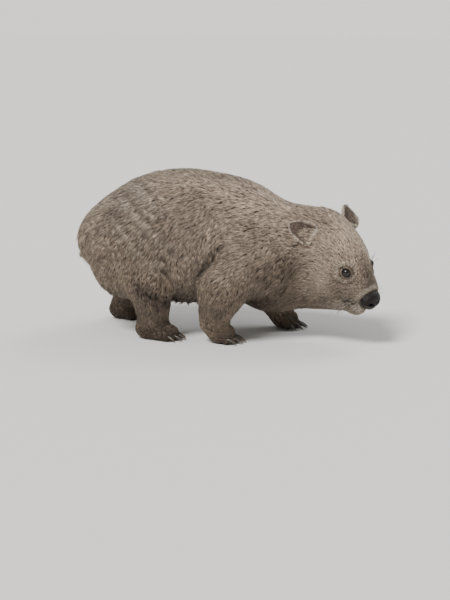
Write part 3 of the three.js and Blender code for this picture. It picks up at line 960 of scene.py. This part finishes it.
def grow(surface, looks, count_per_mm2, settled=True):
    """Tufts over a surface. looks holds each vertex's length, width, lie, tint and stand."""
    face, shares = scatter(surface, count_per_mm2)

    def at(values):
        return at_roots(values, surface, face, shares)

    roots = at(surface["points"])
    normals = unit(at(surface["normals"]))
    length, width, lie, tint, stand = (at(looks[name]) for name in LOOKS)
    number = len(roots)
    lock = locks_of(roots, looks["lock"])
    per_lock = rng.normal(size=(lock.max() + 1, 4))[lock]
    guard = rng.random(number) < GUARD_HAIRS
    length = length * (1 + 0.13 * rng.normal(size=number) + 0.10 * per_lock[:, 0]).clip(0.55, 1.5)
    length = np.where(guard, length * 1.25, length)
    width = np.where(guard, width * 0.7, width) * rng.uniform(0.75, 1.25, number)
    swing = 9 * wander(roots, 95, 11) + 7 * per_lock[:, 1] + 5 * rng.normal(size=number)
    lie = swung(along_skin(lie, normals), normals, swing)
    stand = np.radians((stand + 3 * rng.normal(size=number) + 3 * per_lock[:, 2]).clip(4, 70))
    middle, tips = bend_tufts(roots, normals, lie, length, stand, lock, looks["gather"])
    if settled:
        level = -np.abs(rng.normal(size=number)) * 0.10 * length - 0.4 * np.abs(per_lock[:, 3])
        tips = settle(form, tips, level, rounds=1, reach=9.0)
        lifted = form(middle) + 0.25 * length
        middle -= normals * np.clip(lifted, 0, 3)[:, None] * 0.5
    uvs = (surface["uvs"][face] * shares[..., None]).sum(1)
    pale, dark = np.zeros((2, number))
    # painted highlights along the lines where the coat parts, with painted shade beside them, on the tufts as
    # well
    if settled:
        pale, dark = parting_light_and_shade(middle * 0.4 + tips * 0.6)
    tint = mixed(mixed(tint, PALE, pale), DARK, dark)
    tone = 1 + 0.20 * rng.normal(size=number) + 0.15 * per_lock[:, 3]
    tip_tone = np.where(rng.random(number) < DARK_TIPS, rng.uniform(0.15, 0.4, number),
                        rng.uniform(1.0, 1.7, number))
    tip_tone = np.where(guard & (rng.random(number) < 0.6), 0.08, tip_tone)
    # no dark tips where a highlight is painted along a parting
    tip_tone = np.where(pale > 0.25, np.maximum(tip_tone, 1.0), tip_tone)
    return {
        "corners": shape_tufts(roots, normals, middle, tips, width),
        "uvs": uvs,
        "tint": tint,
        "tone": tone.clip(0.3, 1.8),
        "tip_tone": tip_tone,
    }


MOST_TUFTS = 33000  # in one piece


def add_coat(name, tufts, material):
    """Shares tufts out among pieces, so that each piece has some of them all over."""
    pieces = math.ceil(len(tufts["corners"]) / MOST_TUFTS)
    for piece in range(pieces):
        part = slice(piece, None, pieces)
        corners = tufts["corners"][part]
        count = len(corners)
        faces = (np.arange(count)[:, None, None] * 5 + TUFT_FACES).reshape(-1, 3)
        mesh = mesh_from(name, corners.reshape(-1, 3), faces)
        patch = tufts["uvs"][part][:, None, :] + TUFT_MAP
        layer = mesh.uv_layers.new(name="OFBake")
        layer.uv.foreach_set("vector", patch[:, TUFT_FACES].astype(np.float32).ravel())
        set_values(mesh, "tint", np.repeat(tufts["tint"][part], 5, axis=0), "FLOAT_COLOR")
        set_values(mesh, "along", np.tile(TUFT_ALONG, count))
        for value in ("tone", "tip_tone"):
            set_values(mesh, value, np.repeat(tufts[value][part], 5))
        add_object(f"{name}_{piece + 1}", mesh, material)


# Materials
def new_material(name, roughness, specular):
    material = bpy.data.materials.new(name)
    material.use_nodes = True
    shader = material.node_tree.nodes["Principled BSDF"]
    shader.inputs["Roughness"].default_value = roughness
    shader.inputs["Specular IOR Level"].default_value = specular
    return material, shader


def node(material, kind, **settings):
    made = material.node_tree.nodes.new(kind)
    for key, value in settings.items():
        setattr(made, key, value)
    return made


def link(material, source, target):
    material.node_tree.links.new(source, target)


def attribute(material, name):
    return node(material, "ShaderNodeAttribute", attribute_name=name)


def product(material, first, second):
    made = node(material, "ShaderNodeMath", operation="MULTIPLY")
    link(material, first, made.inputs[0])
    link(material, second, made.inputs[1])
    return made.outputs[0]


def paint(material, shader, shade, colour=None):
    """The base colour: the mesh's tint or another colour, made lighter or darker by a shade."""
    made = node(material, "ShaderNodeVectorMath", operation="SCALE")
    link(material, colour or attribute(material, "tint").outputs["Color"], made.inputs[0])
    link(material, shade, made.inputs["Scale"])
    link(material, made.outputs[0], shader.inputs["Base Color"])


def texture(material, kind, scale):
    made = node(material, kind)
    made.inputs["Scale"].default_value = scale
    place_of = node(material, "ShaderNodeTexCoord")
    link(material, place_of.outputs["Object"], made.inputs["Vector"])
    return made


def noise(material, scale, detail=3.0):
    made = texture(material, "ShaderNodeTexNoise", scale)
    made.inputs["Detail"].default_value = detail
    return made.outputs["Fac"]


def spread(material, value, low, high):
    made = node(material, "ShaderNodeMapRange")
    link(material, value, made.inputs["Value"])
    made.inputs["From Min"].default_value = 0.3
    made.inputs["From Max"].default_value = 0.7
    made.inputs["To Min"].default_value = low
    made.inputs["To Max"].default_value = high
    return made.outputs["Result"]


def raised(material, shader, height, distance, strength=0.6):
    made = node(material, "ShaderNodeBump")
    made.inputs["Strength"].default_value = strength
    made.inputs["Distance"].default_value = distance
    link(material, height, made.inputs["Height"])
    link(material, made.outputs["Normal"], shader.inputs["Normal"])


def colour_ramp(material, value, stops):
    made = node(material, "ShaderNodeValToRGB")
    link(material, value, made.inputs["Fac"])
    while len(made.color_ramp.elements) < len(stops):
        made.color_ramp.elements.new(0.5)
    for element, (position, colour) in zip(made.color_ramp.elements, stops):
        element.position = position
        element.color = (*colour, 1)
    return made.outputs["Color"]


def grey_ramp(material, value, stops):
    return colour_ramp(material, value, [(position, (level,) * 3) for position, level in stops])


def grained_material(name, roughness, specular, grain, shades, depth):
    """Tinted by its mesh, with grain of one size and detail in its shade and its surface."""
    material, shader = new_material(name, roughness, specular)
    fine = noise(material, *grain)
    paint(material, shader, spread(material, fine, *shades))
    raised(material, shader, fine, depth)
    return material


def coat_material():
    material, shader = new_material("coat_hair", 0.62, 0.3)
    along = attribute(material, "along").outputs["Fac"]
    shade = grey_ramp(material, along, ((0.0, 0.07), (0.24, 0.26), (0.58, 1.0), (1.0, 1.0)))
    towards_tip = node(material, "ShaderNodeMapRange")
    link(material, along, towards_tip.inputs["Value"])
    towards_tip.inputs["From Min"].default_value = 0.5
    towards_tip.inputs["From Max"].default_value = 0.85
    link(material, attribute(material, "tip_tone").outputs["Fac"], towards_tip.inputs["To Max"])
    towards_tip.inputs["To Min"].default_value = 1.0
    shade = product(material, shade, towards_tip.outputs["Result"])
    shade = product(material, shade, attribute(material, "tone").outputs["Fac"])
    streak = spread(material, noise(material, 420), 0.86, 1.14)
    shade = product(material, shade, streak)
    paint(material, shader, shade)
    shader.inputs["Sheen Weight"].default_value = 0.06
    shader.inputs["Sheen Roughness"].default_value = 0.5
    return material


def skin_looks(points, normals):
    shares = coat_shares(points)
    table = shares @ COAT_TABLE
    near_eye = np.ones(len(points))
    for middle, _ in EYES.values():
        near_eye *= ramp(distance(points, middle), 2, 34)
    near_tail = ramp(distance(points, TAIL["at"]), 60, 28)
    return {
        "length": table[:, 1] * (0.5 + 0.5 * near_eye) * (1 - 0.45 * near_tail),
        "width": table[:, 2],
        "count": table[:, 3] / 100,
        "lie": coat_lie(points, normals, shares),
        "tint": markings_and_painted_light(points, shares),
        "stand": np.degrees(np.arcsin(np.clip(0.95 * table[:, 0] / table[:, 1], 0, 0.9))),
    }


EYE_BARE = 13.2  # no coat grows this near to the middle of an eye
NOSE_BARE = 1.0  # nor this near to the nose pad
MOUTH_BARE = 1.6  # nor this near to the line of the mouth
SOLE_BARE = 3.0  # nor this low


def bare_places(points):
    """0 where no coat grows: at the eyes, nose pad, line of the mouth and soles; 1 elsewhere."""
    cover = np.ones(len(points))
    for middle, _ in EYES.values():
        cover *= distance(points, middle) > EYE_BARE
    q = local(points, NOSE_FRAME) / (np.array(NOSE["half"]) + NOSE_BARE)
    cover *= (q * q).sum(1) > 1
    cover *= distance_to_line(points, MOUTH) > MOUTH_BARE
    return cover * (points[:, 2] > SOLE_BARE)


skin = make_skin()
surface = surface_of(skin.data)
looks = skin_looks(surface["points"], surface["normals"])
set_values(skin.data, "tint", looks["tint"], "FLOAT_COLOR")
skin.data.materials.append(grained_material("coat_under", 0.85, 0.2, (700, 4.0), (0.18, 0.36), 0.0012))
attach(skin, "root")
FLESH = ["head", "neck", "torso", "tail"]
for side_name in SIDES:
    for part in ("foreleg", "forefoot", "hindleg", "hindfoot"):
        FLESH.append(part + "_" + side_name)
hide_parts(*FLESH)

COAT_FILL = 0.965  # share of the tufts that are grown, which keeps the coat under its limit
# How wide the locks of each piece are, and how far their tips gather
LOCKS = {"coat_head": (4.5, 0.40), "coat_body": (8.5, 0.46)}

hair = coat_material()
cover = looks["count"] * bare_places(surface["points"]) * COAT_FILL
headward = on_head(surface["points"])
for name, where in (("coat_head", headward), ("coat_body", ~headward)):
    looks["lock"], looks["gather"] = LOCKS[name]
    add_coat(name, grow(surface, looks, cover * where), hair)


# Closed shells made from a grid of rings round an axis
def ring_faces(rings, around):
    """Quads between rings of as many points each."""
    row = np.arange(rings - 1)[:, None] * around
    step = np.arange(around)
    after = (step + 1) % around
    quads = np.stack([row + step, row + after, row + around + after, row + around + step], -1)
    return quads.reshape(-1, 4)


def closed_mesh(name, rings, flipped=False):
    """A closed mesh from an array of rings, with a fan over the first and the last."""
    count, around = rings.shape[:2]
    points = rings.reshape(-1, 3)
    caps = np.stack([rings[0].mean(0), rings[-1].mean(0)])
    quads = ring_faces(count, around)
    mesh = mesh_from(name, np.concatenate([points, caps]), quads)
    step = np.arange(around)
    after = (step + 1) % around
    last = (count - 1) * around
    first_fan = np.stack([after, step, np.full(around, count * around)], 1)
    last_fan = np.stack([last + step, last + after, np.full(around, count * around + 1)], 1)
    flesh = bmesh.new()
    flesh.from_mesh(mesh)
    flesh.verts.ensure_lookup_table()
    for corners in np.concatenate([first_fan, last_fan]):
        flesh.faces.new([flesh.verts[int(n)] for n in corners])
    if flipped:
        bmesh.ops.reverse_faces(flesh, faces=flesh.faces[:])
    for face in flesh.faces:
        face.smooth = True
    flesh.to_mesh(mesh)
    flesh.free()
    return mesh


def ball_rings(rings, around):
    """Rings of a ball of radius 1 round the Z axis, from its lower end to its upper one."""
    fall = np.linspace(0.02, math.pi - 0.02, rings)
    turn = turns(around)
    ring = np.stack([np.cos(turn), np.sin(turn), np.zeros(around)], 1)
    grid = np.sin(fall)[:, None, None] * ring
    grid[..., 2] = -np.cos(fall)[:, None]
    return grid


def tapered_mesh(name, rings):
    """A closed mesh that holds how far each point is from its root, from 0 to 1."""
    mesh = closed_mesh(name, rings, flipped=True)
    along = np.repeat(np.linspace(0, 1, rings.shape[0]), rings.shape[1])
    set_values(mesh, "along", np.concatenate([along, [0, 1]]))
    return mesh


def joined(name, meshes):
    """One mesh from several, which are then removed."""
    flesh = bmesh.new()
    for mesh in meshes:
        flesh.from_mesh(mesh)
        bpy.data.meshes.remove(mesh)
    whole = bpy.data.meshes.new(name)
    flesh.to_mesh(whole)
    flesh.free()
    return whole


# Eyes
EYE_OPENING = (0.95, 0.84)  # half angles of the opening between the lids, along and across, in radians


def eye_frame(name):
    """Z the way the eye looks, X along the opening towards the nose."""
    middle, out = EYES[name]
    return frame_of(HEAD[:3, 0] - 0.25 * HEAD[:3, 2], out, middle)


# Colours of an eye from its pupil outward
EYE_COLOURS = (
    (0.00, (0.001, 0.001, 0.001)),
    (0.34, (0.001, 0.001, 0.001)),
    (0.40, (0.012, 0.006, 0.003)),
    (0.62, (0.008, 0.004, 0.002)),
    (0.74, (0.002, 0.001, 0.001)),
)


def eyeball_material():
    material, shader = new_material("eye_wet", 0.05, 0.5)
    colour = colour_ramp(material, attribute(material, "from_pupil").outputs["Fac"], EYE_COLOURS)
    paint(material, shader, spread(material, noise(material, 900), 0.75, 1.25), colour)
    return material


def add_eyeball(name, material):
    grid = ball_rings(36, 48)
    away = np.arccos(np.clip(grid[..., 2], -1, 1))
    radius = EYE_RADIUS - 0.3 + 0.75 * bump(away, 0.5)
    mesh = closed_mesh("eyeball_" + name, place(grid * radius[..., None], eye_frame(name)))
    values = np.concatenate([away.ravel(), [math.pi, 0.0]]) / 1.2
    set_values(mesh, "from_pupil", values)
    add_object("eyeball_" + name, mesh, material, ["eye_" + name])


LID_SIDES = 72
# Rings of a lid from its inner edge outward: how far round the ball past the opening, or how far out
# from the eye's axis and above its middle, in millimetres
LID_SWELL = ((0.00, 0.1), (0.01, 0.6), (0.05, 1.2), (0.11, 1.5), (0.18, 1.6))
LID_SKIRT = ((14.2, 5.6), (15.2, 4.6), (15.8, 3.0), (15.2, 0.8), (13.6, -2.0))
LID_BEHIND = 1.45  # how far round the ball a lid's last ring lies, in radians


def lid_rings():
    turn = turns(LID_SIDES)
    along, across = EYE_OPENING
    corner = 0.10 * np.abs(np.cos(turn)) ** 6
    upper = np.where(np.sin(turn) > 0, 0.9, 1.0)
    opening = 1 / np.sqrt((np.cos(turn) / along) ** 2 + (np.sin(turn) / (across * upper)) ** 2) + corner
    rings = []
    for past, over in LID_SWELL:
        angle = opening + past
        radius = EYE_RADIUS + over + 0.25 * (np.sin(turn) > 0)
        rings.append(np.stack([radius * np.sin(angle) * np.cos(turn),
                               radius * np.sin(angle) * np.sin(turn), radius * np.cos(angle)], 1))
    for out, height in LID_SKIRT:
        rings.append(np.stack([out * np.cos(turn), out * 0.94 * np.sin(turn), np.full(LID_SIDES, height)], 1))
    out, height = EYE_RADIUS * math.sin(LID_BEHIND), EYE_RADIUS * math.cos(LID_BEHIND)
    rings.append(np.stack([out * np.cos(turn), out * np.sin(turn), np.full(LID_SIDES, height)], 1))
    return np.array(rings)


def add_lids(name, material):
    grid = lid_rings()
    count = len(grid)
    points = place(grid.reshape(-1, 3), eye_frame(name))
    quads = ring_faces(count, LID_SIDES)
    step = np.arange(LID_SIDES)
    after = (step + 1) % LID_SIDES
    last = (count - 1) * LID_SIDES
    inner = np.stack([last + step, last + after, after, step], 1)
    mesh = mesh_from("eyelids_" + name, points, np.concatenate([quads, inner])[:, ::-1])
    away = np.repeat(np.arange(count), LID_SIDES)
    tint = mixed(np.tile(DARK * 0.4, (len(points), 1)), DARK * 3.2, ramp(away, 2, 5))
    set_values(mesh, "tint", tint, "FLOAT_COLOR")
    add_object("eyelids_" + name, mesh, material)


# Nose pad
def nose_rings():
    grid = ball_rings(110, 132)
    x, y, z = grid[..., 2].copy(), grid[..., 0].copy(), grid[..., 1].copy()
    half = np.array(NOSE["half"], float)
    points = np.stack([x * half[0], y * half[1] * (1 + 0.18 * z), z * half[2]], -1)
    flat = points.reshape(-1, 3)
    front = ramp(flat[:, 0], -2, 4)
    out = unit(flat / half**2)
    depth = np.zeros(len(flat))
    for side in (-1, 1):
        lean = math.radians(26 * side)
        u = flat[:, 1] - side * 13.2
        v = flat[:, 2] + 3
        along = u * math.cos(lean) + v * math.sin(lean)
        across = -u * math.sin(lean) + v * math.cos(lean) + 0.045 * side * along * abs(along).clip(0, 8) * 0.5
        hole = np.sqrt((along / 6.6) ** 2 + (across / 3.7) ** 2)
        depth += 8.5 * ramp(hole, 1.15, 0.35) * front
        depth -= 1.3 * bump(hole - 1.5, 0.35) * front
        slit = np.sqrt(((along - side * 9) / 7.0) ** 2 + ((across + 1.6) / 1.6) ** 2)
        depth += 2.2 * ramp(slit, 1.2, 0.3) * front
    depth += 1.7 * bump(flat[:, 1], 1.5) * ramp(flat[:, 2], 6, -4) * front
    grain = wander(flat, 2.4, 31, 14) * 0.16 + wander(flat, 5.0, 32, 10) * 0.16
    moved = flat - out * (depth + grain * ramp(depth, 4, 0.5))[:, None]
    return place(moved, NOSE_FRAME).reshape(grid.shape), depth


def nose_material():
    material, shader = new_material("nose_leather", 0.30, 0.22)
    cells = texture(material, "ShaderNodeTexVoronoi", 620)
    paint(material, shader, spread(material, noise(material, 260), 0.75, 1.3))
    gloss = spread(material, noise(material, 500), 0.20, 0.36)
    link(material, gloss, shader.inputs["Roughness"])
    raised(material, shader, cells.outputs["Distance"], 0.0009, 0.7)
    return material


def add_nose():
    rings, depth = nose_rings()
    mesh = closed_mesh("nose_pad", rings)
    depth = np.concatenate([depth, [0, 0]])
    # painted shade: the pad is darker deep inside its nostrils
    tint = mixed(np.tile(np.array([0.010, 0.008, 0.0075]), (len(depth), 1)),
                 np.array([0.002, 0.0015, 0.0015]), ramp(depth, 2, 6))
    set_values(mesh, "tint", tint, "FLOAT_COLOR")
    add_object("nose_pad", mesh, nose_material(), ["nose"])


# Ears: a thin leaf, rounded at the tip, with its edges curled forward round a cup
EAR_LEAF = 3.0
EAR_FUR = 2.0  # depth of the coat behind the ear


def ear_frame(side):
    tip = unit(np.array(EAR_TIP_WAY, float) * (1, side, 1))
    opening = np.array(EAR_OPENS[SIDE_NAMES[side]], float) * (1, side, 1)
    return HEAD @ frame_of(opening, tip, (-EAR["back"], side * EAR["side"], EAR["up"]))


def ear_rings(side):
    grid = ball_rings(56, 72)
    x, y, z = grid[..., 0], grid[..., 1], grid[..., 2]
    height = (z + 1) / 2
    wide = (y * (EAR["width"] / 2 - 1.2)) * (1.12 - 0.5 * height**2)
    thick = (EAR["depth"] / 2 - EAR_FUR) * (1.1 - 0.75 * height)
    back = -np.abs(x) * thick
    cup = ramp(height, 0.12, 0.34)
    leaf = np.minimum(2 * np.abs(x) * thick, EAR_LEAF)
    front = back + leaf * cup + 2 * np.abs(x) * thick * (1 - cup)
    deep = np.where(x > 0, front, back)
    curl = 0.0125 * wide**2
    ripple = 0.5 * np.sin(wide * 0.55) * height * (x > 0)
    points = np.stack([deep + curl - 6 * height**2 + ripple, wide + side * 5 * height,
                       (EAR["tall"] + EAR["rooted"] - 2) * height - EAR["rooted"]], -1)
    inside = ((x > 0.05) * cup * ramp(np.abs(y), 1.0, 0.75)).ravel()
    return place(points, ear_frame(side)), inside, height.ravel()


def ear_map(mesh, rings, around, side):
    """Unwraps an ear as a strip, the right one in the left half of the map and the left one beside it."""
    corners = read_values(mesh.loops, "vertex_index", 1, np.int32).ravel()
    step = corners % around
    ring = corners // around
    first = np.zeros(len(mesh.loops), bool)
    for polygon in mesh.polygons:
        loops = list(polygon.loop_indices)
        wraps = step[loops].max() - step[loops].min() > around / 2
        first[loops] = wraps
    step = np.where(first & (step < around / 2), step + around, step)
    ring = np.clip(ring, 0, rings - 1)
    u = (step + 0.5) / (around + 2) * 0.48 + (0.01 if side < 0 else 0.51)
    v = 0.02 + 0.96 * ring / rings
    layer = mesh.uv_layers.new(name="OFBake")
    layer.uv.foreach_set("vector", np.stack([u, v], 1).astype(np.float32).ravel())


def add_ear(name, side, material):
    grid, inside, height = ear_rings(side)
    mesh = closed_mesh("ear_shell_" + name, grid)
    inside = np.concatenate([inside, [0.0, 0.0]])
    height = np.concatenate([height, [0.0, 1.0]])
    count = len(inside)
    crown = np.tile(TINTS["crown"], (count, 1))
    flesh = np.array([0.075, 0.052, 0.042])
    tint = mixed(crown * 0.8, flesh, inside)
    # painted shade: the inside of the ear is darker low in its cup
    tint = mixed(tint, flesh * 0.4, inside * ramp(height, 0.55, 0.15))
    set_values(mesh, "tint", tint, "FLOAT_COLOR")
    ear_map(mesh, grid.shape[0], grid.shape[1], side)
    add_object("ear_shell_" + name, mesh, material, ["ear_" + name])
    surface = surface_of(mesh)
    tip = ear_frame(side)[:3, 2]
    spread_out = unit(surface["points"] - ear_frame(side)[:3, 3])
    lie = along_skin(np.tile(tip, (count, 1)) + 0.5 * spread_out, surface["normals"])
    rim = ramp(inside, 0.9, 0.2)
    coat_tint = mixed(crown, PALE, 0.6 * rim)
    coat_tint = mixed(coat_tint, DARK, 0.35 * ramp(height, 0.75, 1.0) * (1 - inside))
    ear_looks = {
        "length": 8.5 - 2.5 * inside,
        "width": 1.0 - 0.35 * inside,
        "lie": lie,
        "tint": coat_tint,
        "stand": 13 + 16 * inside,
        "lock": 4.0,
        "gather": 0.35,
    }
    per_mm2 = (0.75 * (1 - inside) + 0.22 * inside * (0.4 + rim)) * (height > 0.1)
    return grow(surface, ear_looks, per_mm2, settled=False)


def together(first, second):
    return {key: np.concatenate([first[key], second[key]]) for key in first}


# Claws: bent, tapering horn, flatter below, with faint growth ridges
def claw_rings(size, rings=22, around=16):
    length, radius = size["length"], size["radius"]
    along = np.linspace(0, 1, rings)
    turn = turns(around)
    grid = np.zeros((rings, around, 3))
    for ring, t in enumerate(along):
        girth = radius * (1 - t) ** 0.72 * (1 + 0.55 * t) + 0.12
        girth *= 1 + 0.02 * math.sin(t * 46)
        y = np.cos(turn) * girth * 0.86
        z = np.sin(turn) * girth * 1.05
        z = np.where(z < 0, z * 0.72, z)
        grid[ring] = np.stack([np.full(around, t * length), y, z - 0.3 * length * t * t], 1)
    return grid


def claw_frame(leg, ahead, aside):
    root = (ahead - 9, leg["side"] * aside * 0.98, TOE_HEIGHT + 1.5)
    return leg["foot"] @ turned(root, yaw=leg["side"] * aside * 0.45, pitch=4)


def claw_material():
    material, shader = new_material("claw_horn", 0.36, 0.5)
    along = attribute(material, "along").outputs["Fac"]
    colour = colour_ramp(material, along, ((0.25, (0.020, 0.016, 0.013)), (1.0, (0.10, 0.078, 0.060))))
    grain = noise(material, 320, 4.0)
    paint(material, shader, spread(material, grain, 0.7, 1.3), colour)
    raised(material, shader, grain, 0.0006)
    return material


def add_claws(material):
    for leg in legs:
        side_name = SIDE_NAMES[leg["side"]]
        meshes = []
        replaced = []
        for number, (ahead, aside) in enumerate(leg["toes"], 1):
            grid = claw_rings(leg["claw"])
            points = place(grid, claw_frame(leg, ahead, aside))
            points[..., 2] = np.maximum(points[..., 2], FLOOR_GAP)
            meshes.append(tapered_mesh("claw", points))
            replaced.append(f"{leg['name']}claw_{side_name}_{number}")
        name = f"claws_{leg['name']}_{side_name}"
        mesh = joined(name, meshes)
        add_object(name, mesh, material, replaced)


# Whiskers: thin tapering tubes
def whisker_rings(root, way, droop, length, radius, rings=9, around=5):
    t = np.linspace(0, 1, rings)
    middle = root + np.outer(t * length, way) + np.outer(t * t * length * 0.28, droop)
    axis = unit(np.gradient(middle, axis=0))
    across = unit(np.cross(axis, droop + 0.01))
    up = np.cross(axis, across)
    turn = turns(around)
    girth = radius * (1 - t) ** 0.8 + 0.03
    ring = across[:, None] * np.cos(turn)[None, :, None] + up[:, None] * np.sin(turn)[None, :, None]
    return middle[:, None] + ring * girth[:, None, None]


# Where whiskers grow, in the head's frame: ahead and up, with how many and how long
WHISKER_BEDS = (
    ((-30, -16), (17, 11), 20, (38, 66)),
    ((-74, 50), (9, 5), 5, (26, 40)),
    ((-96, -28), (9, 6), 4, (24, 36)),
    ((-46, -56), (10, 3), 5, (16, 26)),
)
WHISKER_RADIUS = 0.42
WHISKER_SUNK = 3.0  # how deep a whisker's root lies under the body's surface


def whisker_roots(side):
    draw = np.random.default_rng(90 + side)
    for (x, z), (wide, tall), count, (short, long) in WHISKER_BEDS:
        for _ in range(count):
            ahead = x + draw.uniform(-wide, wide)
            up = z + draw.uniform(-tall, tall)
            start = in_head((ahead, 0, up * 0.5))
            way = HEAD[:3, :3] @ (0.1, side, 0.012 * up)
            root = leave_body(start, way)
            yield root, draw, draw.uniform(short, long)


def whisker_material():
    material, shader = new_material("whisker_hair", 0.55, 0.08)
    along = attribute(material, "along").outputs["Fac"]
    colour = grey_ramp(material, along, ((0.0, 0.02), (0.6, 0.045), (1.0, 0.16)))
    link(material, colour, shader.inputs["Base Color"])
    return material


def add_whiskers():
    back = -HEAD[:3, 0]
    meshes = []
    for side in SIDES.values():
        for root, draw, length in whisker_roots(side):
            out = unit(slope_of(body, root[None, :]))[0]
            way = out * draw.uniform(0.9, 1.3) + back * draw.uniform(0.5, 1.0)
            way = unit(way + draw.normal(size=3) * 0.12)
            droop = np.array([0, 0, -1.0]) + back * 0.4
            rings = whisker_rings(root - out * WHISKER_SUNK, way, droop, length, WHISKER_RADIUS)
            meshes.append(tapered_mesh("whisker", rings))
    mesh = joined("whiskers", meshes)
    add_object("whiskers", mesh, whisker_material())


eye_wet = eyeball_material()
lid_skin = grained_material("lid_skin", 0.42, 0.45, (1400, 5.0), (0.75, 1.25), 0.0006)
ear_skin = grained_material("ear_skin", 0.6, 0.3, (520, 5.0), (0.8, 1.2), 0.0008)
ear_tufts = []
for side_name, side in SIDES.items():
    add_eyeball(side_name, eye_wet)
    add_lids(side_name, lid_skin)
    ear_tufts.append(add_ear(side_name, side, ear_skin))
add_coat("coat_ears", together(*ear_tufts), hair)
add_nose()
add_claws(claw_material())
add_whiskers()


# Camera, light and floor
CAMERA_TURN = 15.0  # degrees round from the animal's right side towards its head
CAMERA_RISE = 11.5
CAMERA_AWAY = 3.6
PIXEL = 0.0026  # metres of the animal for each pixel of the picture
ORIGIN_AT = (228, 333)  # where the masses' origin lies in the picture
PICTURE = (450, 600)
SENSOR = 24.0
FARTHEST = 1000.0  # metres, past the rim of the floor
# The floor rises a little far away, so that its rim lies above the photograph's view: the radius and
# height of each of its rings, in metres
FLOOR_RINGS = ((60.0, 0.0), (300.0, 14.0))
FLOOR_SIDES = 96


def add_camera():
    turn = math.radians(CAMERA_TURN)
    rise = math.radians(CAMERA_RISE)
    to_camera = Vector((math.sin(turn) * math.cos(rise), -math.cos(turn) * math.cos(rise), math.sin(rise)))
    right = Vector((math.cos(turn), math.sin(turn), 0))
    up = to_camera.cross(right)
    aim = Vector(to_scene((0, 0, 0)))
    aim += right * ((PICTURE[0] / 2 - ORIGIN_AT[0]) * PIXEL)
    aim += up * ((ORIGIN_AT[1] - PICTURE[1] / 2) * PIXEL)
    data = bpy.data.cameras.new("camera")
    data.sensor_fit = "VERTICAL"
    data.sensor_height = SENSOR
    data.clip_end = FARTHEST
    data.lens = SENSOR * CAMERA_AWAY / (PICTURE[1] * PIXEL)
    camera = bpy.data.objects.new("camera", data)
    camera.matrix_world = Matrix.Translation(aim + to_camera * CAMERA_AWAY) @ Matrix(
        (right, up, to_camera)).transposed().to_4x4()
    bpy.context.scene.collection.objects.link(camera)
    bpy.context.scene.camera = camera


def add_sun(name, way, power, softness, colour=(1, 1, 1)):
    """Light from far away, so that the floor is lit evenly. way is where it comes from."""
    data = bpy.data.lights.new(name, "SUN")
    data.energy = power
    data.angle = math.radians(softness)
    data.color = colour
    light = bpy.data.objects.new(name, data)
    light.matrix_world = Vector(way).to_track_quat("Z", "Y").to_matrix().to_4x4()
    bpy.context.scene.collection.objects.link(light)


def add_floor():
    turn = turns(FLOOR_SIDES)
    rings = [np.stack([radius * np.cos(turn), radius * np.sin(turn), np.full(FLOOR_SIDES, height)], 1)
             for radius, height in FLOOR_RINGS]
    flesh = bmesh.new()
    inner, outer = ([flesh.verts.new(point) for point in ring] for ring in rings)
    flesh.faces.new(inner)
    for first in range(FLOOR_SIDES):
        second = (first + 1) % FLOOR_SIDES
        flesh.faces.new((inner[first], outer[first], outer[second], inner[second]))
    mesh = bpy.data.meshes.new("floor")
    flesh.to_mesh(mesh)
    flesh.free()
    floor = bpy.data.objects.new("floor", mesh)
    bpy.context.scene.collection.objects.link(floor)
    material, shader = new_material("floor_paint", 0.85, 0.2)
    shader.inputs["Base Color"].default_value = (0.80, 0.79, 0.77, 1)
    mesh.materials.append(material)


def add_sky():
    world = bpy.data.worlds.new("studio")
    bpy.context.scene.world = world
    world.use_nodes = True
    sky = world.node_tree.nodes["Background"]
    sky.inputs["Color"].default_value = (1.0, 0.99, 0.97, 1)
    sky.inputs["Strength"].default_value = 0.5


add_camera()
add_sun("key", (-0.35, -1.0, 1.25), 3.6, 20, (1.0, 0.98, 0.95))
add_sun("rim", (0.5, 1.0, 1.1), 0.9, 30)
add_floor()
add_sky()
